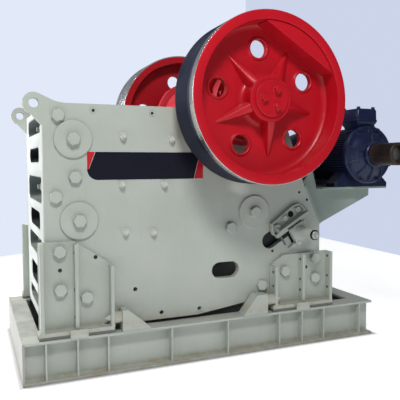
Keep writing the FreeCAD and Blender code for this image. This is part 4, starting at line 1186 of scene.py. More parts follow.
@dataclass
class PlateDetails:
    """Tie bosses, bolts, studs, name band, small fittings and black discs of painted shade in its holes on one
    side plate.
    """

    side: Side
    boss_radius: float = 0.15
    boss_thick: float = 0.02
    boss_places: Sequence[Pair] = ((-1.350, 1.882), (-1.311, 1.234), (0.260, 1.246))
    bolt_places: Sequence[Pair] = ((-1.463, 2.065), (-1.338, 1.581), (-1.490, 1.427), (0.024, 1.114),
                                   (0.338, 0.566))
    stud_places: Sequence[Pair] = ((-0.949, 1.909), (-0.530, 1.893), (-0.960, 1.517), (-0.597, 1.512),
                                   (-0.937, 1.124), (-0.696, 1.112))
    shaded_hole_places: Sequence[Pair] = ((0.747, 1.413), (0.833, 1.339), (0.813, 1.236), (0.458, 0.873))
    bore_places: Sequence[Pair] = ((-1.187, 2.112), (-0.697, 2.106))
    hole_shade_radius: float = 0.0125
    fillet: Sequence[Pair] = ((-1.619, 2.235), (-1.561, 2.219), (-1.500, 2.166), (-1.400, 2.164))
    large: HexBolt = HexBolt(flats=0.095, height=0.042)
    medium: HexBolt = HexBolt(flats=0.092, height=0.038)
    stud: HexBolt = HexBolt(flats=0.05, height=0.026, washer=0.034, washer_thick=0.006, stud=0.018)
    band_low: Pair = (-1.242, 1.556)
    band_high: Pair = (-0.240, 1.782)
    band_thick: float = 0.003
    band_corner: float = 0.085
    band_lean: float = 0.05
    band_tip: float = 0.038
    band_rim: float = 0.003

    def __post_init__(self) -> None:
        """Find the plate's outer face."""
        self.plate = box(f"side_plate_{self.side.word}")
        self.face = outermost(f"side_plate_{self.side.word}")
        self.normal = self.side.normal

    def out(self, depth: float) -> float:
        """Y of a point that far out of the plate."""
        return self.side.value * (self.face + depth)

    def on_plate(self, places: Iterable[Pair], depth: float = 0.0) -> list[Triple]:
        """Points at X and Z places, that far out of the plate."""
        return [(x, self.out(depth), z) for x, z in places]

    def copies(self, model: Shell, places: Iterable[Pair]) -> Shell:
        """Copies of a round part on the plate."""
        return together(model.placed(place, facing(self.normal)) for place in self.on_plate(places))

    def build(self, shop: Workshop) -> None:
        """Make everything on this plate.

        Args:
            shop: makes the pieces.
        """
        word = self.side.word
        boss = disc(self.boss_radius, -0.001, self.boss_thick - 0.004, self.boss_radius - 0.004,
                    self.boss_thick, 72)
        shop.piece(f"tie_boss_discs_{word}", self.copies(boss, self.boss_places), "frame_paint", Body.FRAME,
                   replaces=[f"tie_bosses_{word}"])
        heads = self.large.at(self.on_plate(self.boss_places, self.boss_thick), self.normal)
        heads += self.medium.at(self.on_plate(self.bolt_places), self.normal)
        shop.piece(f"plate_bolts_{word}", heads, "bolt_paint", Body.FRAME)
        studs = self.stud.at(self.on_plate(self.stud_places), self.normal)
        shop.piece(f"liner_studs_{word}", studs, "stud_paint", Body.FRAME)
        # painted shade: black discs in the small holes and in the middle of the bores
        hole_shade = disc(self.hole_shade_radius, 0.0, 0.0012, self.hole_shade_radius - 0.001, 0.0018, 24)
        hole_shades = self.copies(hole_shade, (*self.shaded_hole_places, *self.bore_places))
        shop.piece(f"plate_hole_shades_{word}", hole_shades, "painted_shade_hole", Body.FRAME)
        bore = turned([(self.hole_shade_radius, 0.0), (0.029, 0.0), (0.0285, 0.0035), (0.0255, 0.0035),
                       (0.0235, 0.0008), (self.hole_shade_radius, 0.0008)], 40)
        shop.piece(f"plate_bores_{word}", self.copies(bore, self.bore_places), "frame_paint", Body.FRAME)
        shop.piece(f"lug_fillet_{word}", self.lug_fillet(), "frame_paint", Body.FRAME, bevel=0.002)
        self.name_band(shop)

    def lug_fillet(self) -> Shell:
        """Curved web from the lifting lug down to the plate's top edge.

        Its edge is the cubic curve (1-t)^3 a + 3(1-t)^2 t b + 3(1-t) t^2 c + t^3 d.
        """
        t = np.linspace(0, 1, 14)[:, None]
        a, b, c, d = (np.array(point) for point in self.fillet)
        curve = (1 - t) ** 3 * a + 3 * (1 - t) ** 2 * t * b + 3 * (1 - t) * t ** 2 * c + t ** 3 * d
        outline = np.vstack([curve, d - (0.02, 0.03), a + (0.044, -0.085)])
        inner = min(abs(self.plate[0][1]), abs(self.plate[1][1]))
        web = prism(outline, inner - self.face + 0.001, -0.001)
        return web.placed((0, self.face, 0), UPRIGHT).on_side(self.side)

    def name_band(self, shop: Workshop) -> None:
        """Blank dark band with a rounded lower corner and slanted red ends.

        Args:
            shop: makes the pieces.
        """
        (x0, z0), (x1, z1) = self.band_low, self.band_high
        lean, tip, rim = self.band_lean, self.band_tip, self.band_rim
        angle = np.linspace(math.pi, 1.5 * math.pi, 12)
        round_corner = np.stack([x0 + self.band_corner * (1 + np.cos(angle)),
                                 z0 + self.band_corner * (1 + np.sin(angle))], axis=1)
        dark = np.vstack([round_corner, [(x1 - tip - lean, z0), (x1 - tip + 0.01, z1),
                                         (x0 + tip + 0.03, z1), (x0 + 0.016, z0 + self.band_corner + 0.004)]])
        front = np.array([(x0, z0 + self.band_corner), (x0 + 0.012, z0 + self.band_corner),
                          (x0 + tip + 0.026, z1), (x0, z1)])
        rear = np.array([(x1 - tip - lean + 0.004, z0), (x1, z0), (x1, z1), (x1 - tip + 0.014, z1)])
        word = self.side.word
        edge = np.vstack([round_corner + (-rim, -rim),
                          [(x1 + rim, z0 - rim), (x1 + rim, z1 + rim), (x0 - rim, z1 + rim)]])
        for name, outlines, finish, thick in ((f"name_band_edge_{word}", [edge], "band_edge", 0.5),
                                              (f"name_band_{word}", [dark], "name_band", 1.0),
                                              (f"name_band_ends_{word}", [front, rear], "band_red", 1.0)):
            shells = together(prism(outline, 0, self.band_thick * thick) for outline in outlines)
            upright = shells.placed((0, self.face, 0), UPRIGHT).on_side(self.side)
            shop.piece(name, upright, finish, Body.FRAME, smooth=50)


@dataclass
class Feet:
    """Bolts, clips and welds of the feet, stops and base on one side."""

    side: Side
    front_bolts: Sequence[Pair] = ((-1.472, 0.999), (-1.470, 0.696), (-1.265, 0.620))
    rear_bolts: Sequence[Pair] = ((0.570, 0.683), (0.902, 0.783), (0.899, 0.594))
    hole_places: Sequence[Pair] = ((-1.470, 0.85), (-1.19, 0.937), (0.809, 0.7))
    rib_holes: Sequence[Pair] = ((0.730, 0.790), (0.730, 0.600), (0.730, 0.500), (1.034, 0.800),
                                 (1.034, 0.610), (1.034, 0.500), (-1.354, 0.990), (-1.354, 0.700),
                                 (-1.354, 0.480), (0.440, 0.690), (0.440, 0.560))
    rib_half: float = 0.0135
    rib_tops: Sequence[Pair] = ((-1.617, 1.075), (-1.354, 1.061), (-1.073, 0.868), (0.440, 0.745),
                                (0.730, 0.837), (1.034, 0.845))
    stiffeners: Sequence[float] = (-1.598, -1.357, -1.115, -0.578, -0.058, 0.463, 0.705, 0.946, 1.362)
    stiffener_half: float = 0.007
    stop_spans: Sequence[Pair] = ((-1.0, -0.75), (0.09, 0.338))
    clip_places: Pair = (-1.345, 0.7075)
    foot_plate: float = 0.028
    bolt: HexBolt = HexBolt(flats=0.092, height=0.038)
    nut: HexBolt = HexBolt(flats=0.036, height=0.02, washer=0.026, washer_thick=0.004, stud=0.016)
    clip: tuple[float, float, float] = (0.14, 0.012, 0.07)
    bead: WeldBead = WeldBead()

    def __post_init__(self) -> None:
        """Read the boxes of the feet and the base."""
        word = self.side.word
        self.front, self.rear = box(f"foot_front_{word}"), box(f"foot_rear_{word}")
        self.beam = box(f"base_beam_{word}")
        self.normal = self.side.normal
        self.foot_face = outermost(f"side_plate_{word}") + self.foot_plate
        self.foot_edge = outermost(f"foot_front_{word}")
        self.beam_edge = outermost(f"base_beam_{word}")

    def build(self, shop: Workshop) -> None:
        """Make the bolts, the clips and the welds.

        Args:
            shop: makes the pieces.
        """
        word, sign = self.side.word, self.side.value
        face = sign * self.foot_face
        heads = self.bolt.at([(x, face, z) for x, z in self.front_bolts + self.rear_bolts], self.normal)
        shop.piece(f"foot_bolts_{word}", heads, "bolt_paint", Body.FRAME)
        # painted shade: black discs in the holes of the foot plates
        hole_shade = disc(0.016, 0.0, 0.0012, 0.013, 0.0015, 24)
        hole_shades = together(hole_shade.placed((x, face, z), facing(self.normal)) for x, z in self.hole_places)
        shop.piece(f"foot_holes_{word}", hole_shades, "painted_shade_hole", Body.FRAME)
        # painted shade: black discs in the holes of the foot ribs
        eye = disc(0.013, 0.0, 0.001, 0.012, 0.0015, 20)
        eyes = together(eye.placed((x - self.rib_half, sign * (self.foot_edge - 0.045), z), facing("-X"))
                        for x, z in self.rib_holes)
        shop.piece(f"foot_rib_holes_{word}", eyes, "painted_shade_hole", Body.FRAME)
        shop.piece(f"foot_clips_{word}", self.clips(), "frame_paint", Body.FRAME, bevel=0.002)
        shop.piece(f"buffer_nuts_{word}", self.buffer_nuts(), "stud_paint", Body.FRAME)
        shop.piece(f"foot_welds_{word}", self.welds(), "frame_paint", Body.FRAME, smooth=80)

    def clips(self) -> Shell:
        """Flat keeper plates welded to the beam's edge beside each foot."""
        length, thick, height = self.clip
        top = self.beam[1][2]
        shells = []
        for x in self.clip_places:
            low = (x - length / 2, self.beam_edge, top - 0.004)
            shells.append(slab(low, (x + length / 2, self.beam_edge + thick, top + height - 0.004)))
        return together(shells).on_side(self.side)

    def buffer_nuts(self) -> Shell:
        """Nuts on the buffers' studs, inside the feet's end ribs."""
        y = self.side.value * (self.beam_edge - 0.06)
        height = self.beam[1][2] + 0.112
        front = self.nut.at([(self.front[1][0] - self.foot_plate, y, height)], "-X")
        return front + self.nut.at([(self.rear[0][0] + 0.022 + self.foot_plate, y, height)], "+X")

    def welds(self) -> Shell:
        """Beads down both sides of the foot ribs and along the base stiffeners and stops."""
        sign, edge = self.side.value, self.beam_edge
        floor, flange = self.front[0][2] + 0.03, 0.02
        web, level = edge - 0.077, self.beam[1][2]
        top = level - flange
        runs: list[tuple[Sequence[float], Sequence[float]]] = []
        for middle, rib_top in self.rib_tops:
            for x in (middle - 0.014, middle + 0.014):
                runs.append(((x, sign * self.foot_face, floor), (x, sign * self.foot_face, rib_top - 0.01)))
                runs.append(((x, sign * self.foot_face, floor), (x, sign * (self.foot_edge - 0.004), floor)))
        for middle in self.stiffeners:
            for x in (middle - self.stiffener_half, middle + self.stiffener_half):
                runs.append(((x, sign * web, flange), (x, sign * web, top)))
                runs.extend(((x, sign * web, z), (x, sign * (edge - 0.004), z)) for z in (flange, top))
        start, end = self.beam[0][0], self.beam[1][0]
        runs.extend(((start, sign * web, z), (end, sign * web, z)) for z in (flange, top))
        for low, high in self.stop_spans:
            runs.extend(((low, y, level), (high, y, level)) for y in (sign * edge, sign * (edge - 0.12)))
        return together(self.bead.along(start, end) for start, end in runs)


@dataclass
class Chamber:
    """Ridged dies of the crushing chamber."""

    pitch: float = 0.095
    tooth: float = 0.036
    thick: float = 0.09

    def build(self, shop: Workshop) -> None:
        """Replace both plain dies by ridged ones.

        Args:
            shop: makes the pieces.
        """
        low, high = box("fixed_jaw_die")
        fixed = self.die(low, high, (low[0], low[0]), (high[0], low[0] + self.thick), 1)
        low, high = box("swing_jaw_die")
        swing = self.die(low, high, (low[0] + self.thick, high[0]), (low[0], high[0] - self.thick), -1)
        for word, shell, body in (("fixed", fixed, Body.FRAME), ("swing", swing, Body.JAW)):
            shop.piece(f"{word}_jaw_ridges", shell, "jaw_steel", body, replaces=[f"{word}_jaw_die"], smooth=60)

    def die(self, low: Array, high: Array, back: Pair, face: Pair, sign: int) -> Shell:
        """A plate whose working face is a row of upright round-topped teeth.

        Depth at y is tooth * |cos(pi y / pitch)| ** 0.8 back from the crests; back and face
        give X at the bottom and at the top.

        Args:
            low: the die's low corner.
            high: its high corner.
            back: X of the back.
            face: X of the crests.
            sign: 1 where the teeth face +X, else -1.

        Returns:
            The die.
        """
        count = 240
        y = np.linspace(low[1], high[1], count)
        depth = self.tooth * (1 - np.abs(np.cos(math.pi * y / self.pitch)) ** 0.8)
        levels = np.linspace(0, 1, 12)
        rings = []
        for level in levels:
            z = low[2] + level * (high[2] - low[2])
            x_back = back[0] + level * (back[1] - back[0])
            x_face = face[0] + level * (face[1] - face[0])
            front = np.column_stack([x_face - sign * depth, y, np.full(count, z)])
            rear = np.column_stack([np.full(count, x_back), y[::-1], np.full(count, z)])
            rings.append(np.vstack([front, rear]))
        return lofted(rings)


@dataclass
class Housings:
    """Bolts of the bearing housings: a ring on the cover and more on the step behind it."""

    ring_bolts: int = 12
    ring_radius: float = 0.285
    step_radius: float = 0.345
    step_back: float = 0.149
    bolt: HexBolt = HexBolt(flats=0.046, height=0.026, washer=0.03, washer_thick=0.004)

    def build(self, shop: Workshop) -> None:
        """Make both sides.

        Args:
            shop: makes the pieces.
        """
        for side in Side:
            low, high = box(f"bearing_housing_{side.word}")
            centre, face = (low + high) / 2, outermost(f"bearing_housing_{side.word}")
            angles = (np.arange(self.ring_bolts) + 0.5) * TURN / self.ring_bolts
            upper = [a for a in angles if math.sin(a) > 0.05]
            places = circle(centre, self.ring_radius, angles, side.value * face)
            places += circle(centre, self.step_radius, upper, side.value * (face - self.step_back))
            shop.piece(f"housing_bolts_{side.word}", self.bolt.at(places, side.normal), "housing_red",
                       Body.FRAME)


@dataclass
class Guides:
    """Wedge guide and wedge adjuster of one side, drawn along and across their slope.

    U runs up the slope, V across it and D out of the plate, from the adjuster's axis.
    """

    side: Side
    axis: Pair = (0.720, 1.043)
    slope: float = math.radians(30)
    back_outline: Sequence[Pair] = ((-0.245, 0.118), (-0.245, 0.165), (-0.21, 0.225), (0.06, 0.252),
                                    (0.125, 0.24), (0.158, 0.19), (0.158, 0.118))
    back_thick: float = 0.012
    wall: float = 0.012
    wall_rise: float = 0.05
    shelf_low: tuple[float, float, float] = (-0.195, 0.110, 0.0)
    shelf_high: tuple[float, float, float] = (0.170, 0.137, 0.088)
    block: float = 0.150
    flange: float = 0.178
    flange_low: float = 0.063
    flange_high: float = 0.081
    bolt: HexBolt = HexBolt(flats=0.05, height=0.028, washer=0.032, washer_thick=0.005)
    corner_bolt: HexBolt = HexBolt(flats=0.026, height=0.014)
    web_thick: float = 0.016
    cylinder: float = 0.044

    def __post_init__(self) -> None:
        """Find the plate's face and the adjuster's reach."""
        self.face = outermost(f"side_plate_{self.side.word}")
        self.reach = outermost(f"wedge_adjuster_{self.side.word}") - self.face
        cos, sin = math.cos(self.slope), math.sin(self.slope)
        self.rows = ((cos, 0, sin), (-sin, 0, cos), (0, 1, 0))

    def set_up(self, shell: Shell) -> Shell:
        """A shell drawn in U, V and D, put in its place on this side."""
        return shell.placed((self.axis[0], self.face, self.axis[1]), self.rows).on_side(self.side)

    def build(self, shop: Workshop) -> None:
        """Make the guide, the adjuster and their bolts.

        Args:
            shop: makes the pieces.
        """
        word = self.side.word
        outline = np.array(self.back_outline)
        parts = [prism(outline, 0, self.back_thick), slab(self.shelf_low, self.shelf_high)]
        for start, end in zip(outline[:-1], outline[1:]):
            along = (end - start) / np.linalg.norm(end - start)
            inward = np.array([along[1], -along[0]]) * self.wall
            first, last = start - 0.3 * self.wall * along, end + 0.3 * self.wall * along
            strip = np.array([first, last, last + inward, first + inward])
            parts.append(prism(strip, 0, self.wall_rise))
        web = prism(np.array([(0.13, 0.0), (0.2, 0.0), (0.2, 0.02), (0.13, 0.08)]), 0, self.web_thick)
        for u in (self.shelf_low[0], self.shelf_high[0] - self.web_thick):
            parts.append(Shell(web.points[:, [2, 0, 1]] + np.array([u, 0, 0]), web.faces))
        parts.append(slab((-0.225, 0.072, 0.0), (-0.09, 0.112, 0.05)))
        shop.piece(f"wedge_guide_{word}_built", self.set_up(together(parts)), "frame_paint", Body.FRAME,
                   bevel=0.004, replaces=[f"wedge_guide_{word}"])
        half, plate = self.block / 2, self.flange / 2
        wing = np.array([(-0.16, -0.085), (-0.1, -0.068), (0.075, -0.068), (0.12, -0.105), (-0.05, -0.118)])
        adjuster = [slab((-half, -half, 0.0), (half, half, self.flange_low)),
                    slab((-plate, -plate, self.flange_low), (plate, plate, self.flange_high)),
                    prism(wing, 0.0, 0.04)]
        start = self.flange_high
        barrel = turned([(0, start - 0.002), (0.066, start - 0.002), (0.066, start + 0.01),
                         (0.058, start + 0.02), (0.049, start + 0.04), (self.cylinder, self.reach - 0.03),
                         (self.cylinder, self.reach - 0.026), (0, self.reach - 0.026)], 48)
        shop.piece(f"wedge_adjuster_{word}_built", self.set_up(together([*adjuster, barrel])),
                   "frame_paint", Body.FRAME, bevel=0.003, replaces=[f"wedge_adjuster_{word}"])
        self.details(shop)

    def details(self, shop: Workshop) -> None:
        """Bolts, painted shade in the gaps, the wedge's end (paler than the gaps, but in the darkened recess
        paint) and the cylinder's bright tip.

        Args:
            shop: makes the pieces.
        """
        word, plate = self.side.word, self.flange / 2 - 0.018
        model, small = self.bolt.shell(), self.corner_bolt.shell()
        heads = [Shell(model.points + np.array([u, v, self.back_thick]), model.faces)
                 for u, v in ((-0.06, 0.19), (0.098, 0.188), (-0.165, 0.16))]
        heads += [Shell(small.points + np.array([u, v, self.flange_high]), small.faces)
                  for u in (-plate, plate) for v in (-plate, plate)]
        shop.piece(f"guide_bolts_{word}", self.set_up(together(heads)), "bolt_paint", Body.FRAME)
        # painted shade: a dark disc in the guide's hole, a dark slab in the slot and a dark ring round the
        # cylinder
        dark = disc(0.03, 0.0, self.back_thick + 0.001, 0.028, self.back_thick + 0.0015, 32)
        gap = slab((-0.1, -0.07, -0.012), (0.098, 0.104, 0.0006))
        start, end = self.reach - 0.027, self.reach - 0.014
        ring = turned([(0.038, start), (0.0455, start), (0.0455, end), (0.038, end)], 40)
        hole = Shell(dark.points + np.array([0.02, 0.183, 0.0]), dark.faces)
        gap_shades = together([hole, gap, ring])
        shop.piece(f"guide_gap_shade_{word}", self.set_up(gap_shades), "painted_shade_dark", Body.FRAME)
        # painted shade: the wedge's end in the darkened recess paint of the slot
        wedge = slab((-0.178, -0.045, -0.05), (-0.16, 0.07, 0.006))
        wedge += slab((-0.235, -0.03, -0.06), (-0.19, 0.02, -0.03))
        shop.piece(f"wedge_end_{word}", self.set_up(wedge), "painted_shade_recess", Body.FRAME, bevel=0.002)
        tip = turned([(0, start), (0.037, start), (0.037, self.reach - 0.005), (0.033, self.reach),
                      (0.02, self.reach), (0.018, self.reach - 0.006), (0, self.reach - 0.006)], 40)
        shop.piece(f"adjuster_tip_{word}", self.set_up(tip), "stud_steel", Body.FRAME)


@dataclass
class Bracket:
    """Motor shelf behind the frame: leaning back plate, shelf, three gussets and their welds."""

    thick: float = 0.025
    shelf_thick: float = 0.02
    lean: Sequence[Pair] = ((0.979, 1.102), (1.004, 1.114), (0.831, 1.478), (0.806, 1.466))
    gusset: Sequence[Pair] = ((0.989, 1.107), (1.045, 1.102), (1.630, 1.360), (1.630, 1.435),
                              (1.000, 1.435), (0.954, 1.606), (0.912, 1.606), (0.816, 1.471))
    gusset_out: float = 0.6
    shelf_front: float = 1.0
    shelf_top: float = 1.455
    bead: WeldBead = WeldBead(radius=0.008)

    def build(self, shop: Workshop) -> None:
        """Make the bracket and its welds.

        Args:
            shop: makes the pieces.
        """
        low, high = box("motor_bracket")
        flush, level = abs(box("side_plate_rear_near")[0][1]), self.shelf_top - self.shelf_thick
        parts = [self.upright(self.lean, -flush, flush),
                 slab((self.shelf_front, low[1], level), (high[0], high[1], self.shelf_top))]
        starts = (-self.gusset_out, -self.thick / 2, self.gusset_out - self.thick)
        parts += [self.upright(self.gusset, start, start + self.thick) for start in starts]
        # painted shade: the bracket and its welds use the darkened copy of the frame paint
        shop.piece("motor_bracket_welded", together(parts), "bracket_paint_shaded", Body.FRAME, bevel=0.003,
                   replaces=["motor_bracket"])
        (x0, z0), (x1, z1) = self.lean[1:3]
        beads = []
        for start in starts:
            for y in (start, start + self.thick):
                beads.append(self.bead.along((self.shelf_front + 0.01, y, level), (1.62, y, level)))
                beads.append(self.bead.along((x0 + 0.002, y, z0 + 0.004), (x1, y, z1 - 0.01)))
        shop.piece("motor_bracket_welds", together(beads), "bracket_paint_shaded", Body.FRAME, smooth=80)

    @staticmethod
    def upright(outline: Sequence[Pair], start: float, end: float) -> Shell:
        """An outline in X and Z, thickened along Y from start to end."""
        flat = prism(np.array(outline), start, end)
        return Shell(flat.points[:, [0, 2, 1]], flat.faces)


# ------------------------------------------------------------------ motor
@dataclass
class Motor:
    """Finned barrel, ribbed end shield, fan cowl, terminal box and drive sleeve."""

    fins: int = 72
    fin_root: float = 0.238
    fin_tip: float = 0.262
    shield_ribs: int = 10
    bore: float = 0.0605
    bolt: HexBolt = HexBolt(flats=0.03, height=0.018, washer=0.02, washer_thick=0.003)
    foot_bolt: HexBolt = HexBolt(flats=0.046, height=0.028, washer=0.032, washer_thick=0.005)

    def __post_init__(self) -> None:
        """Read the motor's boxes."""
        self.low, self.high = box("motor_body")
        self.axis = (self.low + self.high) / 2

    def build(self, shop: Workshop) -> None:
        """Make the motor's pieces.

        Args:
            shop: makes the pieces.
        """
        shop.piece("motor_finned_barrel", self.barrel(), "motor_navy", Body.FRAME,
                   replaces=["motor_body"], smooth=25)
        shop.piece("motor_shield_and_ribs", self.shield(), "motor_navy", Body.FRAME,
                   replaces=["motor_end_shield"])
        shop.piece("motor_cowl_and_grille", self.cowl(), "motor_navy", Body.FRAME,
                   replaces=["motor_fan_cowl"])
        shop.piece("motor_terminal_case", self.terminal_box(), "motor_navy", Body.FRAME, bevel=0.004,
                   replaces=["motor_terminal_box"])
        shop.piece("motor_bolts", self.bolts(), "motor_navy", Body.FRAME)
        shop.piece("drive_sleeve_turned", self.sleeve(), "sleeve_iron", Body.ROTOR,
                   replaces=["drive_sleeve"])

    def about(self, shell: Shell, y: float) -> Shell:
        """A part drawn along its own Z, set on the motor's axis facing the driving end at y."""
        return shell.placed((self.axis[0], y, self.axis[2]), facing("-Y"))

    def barrel(self) -> Shell:
        """Barrel with straight cooling fins.

        Its section is r(a) = tip on each fin and root between fins, with short flanks; two
        plain bands close the ends.
        """
        steps = np.array([0.0, 0.3, 0.36, 0.94]) / self.fins * TURN
        angle = (np.arange(self.fins)[:, None] * TURN / self.fins + steps).ravel()
        radius = np.tile([self.fin_tip, self.fin_tip, self.fin_root, self.fin_root], self.fins)
        section = np.stack([radius * np.cos(angle), radius * np.sin(angle)], axis=1)
        plain = self.fin_tip * np.stack([np.cos(angle), np.sin(angle)], axis=1)
        start, end = self.low[1], self.high[1]
        rings = []
        for outline, y in ((plain, start), (plain, start + 0.03), (section, start + 0.034),
                           (section, end - 0.034), (plain, end - 0.03), (plain, end)):
            rings.append(np.column_stack([outline[:, 0] + self.axis[0], np.full(len(outline), y),
                                          outline[:, 1] + self.axis[2]]))
        return lofted(rings)

    def shield(self) -> Shell:
        """End shield: rim, dished cover, bearing cap and radial ribs."""
        low, high = box("motor_end_shield")
        depth = high[1] - low[1]
        rim = (high[2] - low[2]) / 2
        bore = self.bore
        profile = [(bore, 0), (rim, 0), (rim, 0.03), (rim - 0.008, 0.039), (0.235, 0.043), (0.215, 0.052),
                   (0.165, 0.092), (0.13, 0.098), (0.124, 0.102), (0.122, depth - 0.008), (0.112, depth),
                   (0.07, depth), (0.068, depth - 0.006), (bore, depth - 0.006)]
        body = self.about(turned(profile, 96), high[1])
        ribs = []
        for index in range(self.shield_ribs):
            angle = (index + 0.5) * TURN / self.shield_ribs
            cos, sin = math.cos(angle), math.sin(angle)
            side = [(0.12, 0.04), (0.262, 0.036), (0.25, 0.06), (0.16, 0.108), (0.12, 0.118)]
            rib = prism(np.array(side), -0.006, 0.006)
            rib = rib.placed((0, 0, 0), ((cos, sin, 0), (0, 0, 1), (sin, -cos, 0)))
            ribs.append(self.about(rib, high[1]))
        return together([body, *ribs])

    def cowl(self) -> Shell:
        """Fan cowl: a drawn cover with a grille of rings and bars on its end."""
        low, high = box("motor_fan_cowl")
        depth, radius = high[1] - low[1], (high[2] - low[2]) / 2
        shell = turned([(radius - 0.006, 0), (radius, 0), (radius, depth - 0.04),
                        (radius - 0.008, depth - 0.012), (radius - 0.035, depth), (radius - 0.06, depth),
                        (radius - 0.06, depth - 0.004), (radius - 0.038, depth - 0.004),
                        (radius - 0.013, depth - 0.015), (radius - 0.006, depth - 0.04)], 96)
        wire, back, front = 0.0035, depth - 0.01, depth - 0.003
        rings = [turned([(r - wire, back), (r + wire, back), (r + wire, front), (r - wire, front)], 64)
                 for r in np.arange(0.03, radius - 0.06, 0.02)]
        bars = [slab((-radius + 0.05, -0.004, depth - 0.012), (radius - 0.05, 0.004, depth - 0.005)).placed(
            (0, 0, 0), facing("+Z", index * math.pi / 4)) for index in range(4)]
        boss = turned([(0, 0.0), (0.18, 0.0), (0.18, 0.05), (0, 0.06)], 48)
        place, away = (self.axis[0], low[1], self.axis[2]), facing("+Y")
        return together(part.placed(place, away) for part in [shell, *rings, *bars, boss])

    def terminal_box(self) -> Shell:
        """Terminal box: tapered base, flared lid with a rim, two cable glands at its side."""
        low, high = box("motor_terminal_box")
        centre = (low + high) / 2
        width, length = high[0] - low[0], high[1] - low[1]
        split = low[2] + 0.42 * (high[2] - low[2])

        def ring(grow: float, z: float) -> Array:
            """The box's outline, grown by so much, at a height."""
            outline = rounded_outline(width + grow, length + grow, 0.02, 5)
            return np.column_stack([outline + centre[:2], np.full(len(outline), z)])

        base = lofted([ring(-0.07, low[2] - 0.01), ring(-0.06, split - 0.05),
                       ring(-0.012, split - 0.012), ring(-0.004, split)])
        lid = lofted([ring(0.0, split + 0.001), ring(0.0, split + 0.016), ring(-0.01, split + 0.018),
                      ring(-0.014, high[2] - 0.02), ring(-0.03, high[2] - 0.004), ring(-0.06, high[2])])
        gland = turned([(0, 0), (0.03, 0), (0.03, 0.02), (0.024, 0.022), (0.024, 0.04), (0.018, 0.05),
                        (0, 0.05)], 24)
        glands = [gland.placed((high[0] - 0.03, y, split - 0.045), facing("+X"))
                  for y in (centre[1] - 0.06, centre[1] + 0.06)]
        return together([base, lid, *glands])

    def bolts(self) -> Shell:
        """Shield, lid and foot bolts."""
        low, _ = box("motor_end_shield")
        angles = (np.arange(8) + 0.5) * TURN / 8
        rim = circle(self.axis, 0.258, angles, low[1] + 0.118)
        cap = circle(self.axis, 0.096, angles[::2], low[1])
        box_low, box_high = box("motor_terminal_box")
        lid = [(x, y, box_high[2] - 0.004) for x in (box_low[0] + 0.035, box_high[0] - 0.035)
               for y in (box_low[1] + 0.035, box_high[1] - 0.035)]
        foot_low, foot_high = box("motor_feet")
        feet = [(x, y, foot_low[2] + 0.04) for x in (foot_low[0] + 0.045, foot_high[0] - 0.045)
                for y in (foot_low[1] + 0.07, foot_high[1] - 0.07)]
        return together([self.bolt.at(rim + cap, "-Y"), self.bolt.at(lid, "+Z"),
                         self.foot_bolt.at(feet, "+Z")])

    def sleeve(self) -> Shell:
        """Drive sleeve: chamfered, with a hollow mouth round the shaft end."""
        low, high = box("drive_sleeve")
        length, radius = high[1] - low[1], (high[2] - low[2]) / 2
        profile = [(self.bore, 0), (radius - 0.006, 0), (radius, 0.006), (radius, length - 0.012),
                   (radius - 0.012, length), (0.08, length), (0.076, length - 0.004),
                   (0.076, length - 0.06), (self.bore, length - 0.06)]
        return self.about(turned(profile, 80), high[1])


# ------------------------------------------------------------------ CAD nodes
def dress_nodes(shop: Workshop) -> None:
    """Give every CAD node its finish, so that those without a new piece are dressed too.

    Args:
        shop: makes the pieces.
    """
    paired = {"frame_paint": ("base_beam", "foot_front", "foot_rear", "stoppers", "side_plate",
                              "side_plate_rear", "lifting_lug", "wedge_adjuster", "wedge_guide",
                              "tie_bosses"),
              "jaw_steel": ("cheek_plate",), "housing_red": ("bearing_housing",),
              "wheel_red": ("flywheel", "flywheel_rim", "hub_cap"), "wedge_steel": ("adjusting_wedge",)}
    for finish, names in paired.items():
        for name in names:
            shop.dress(finish, *both(name))
    single = {"channel_paint": ("base_front_channel",),
              "frame_paint": ("base_rear_beam", "back_casting", "motor_bracket", "front_casting"),
              "jaw_steel": ("fixed_jaw_die", "swing_jaw_die"), "housing_red": ("swing_jaw",),
              "wedge_steel": ("toggle_plate", "toggle_block"), "pad_rubber": ("foot_pads",),
              "buffer_pale": ("stop_buffers",), "shaft_steel": ("eccentric_shaft", "motor_shaft"),
              "sleeve_iron": ("drive_sleeve",),
              "motor_navy": ("motor_body", "motor_end_shield", "motor_fan_cowl", "motor_feet",
                             "motor_terminal_box")}
    for finish, names in single.items():
        shop.dress(finish, *names)


# ------------------------------------------------------------------ studio
@dataclass(frozen=True)
class Panel:
    """A soft rectangular light at a place, turned to a target."""

    name: str
    place: Triple
    target: Triple
    size: Pair
    power: float
    colour: Colour = (1.0, 1.0, 1.0)


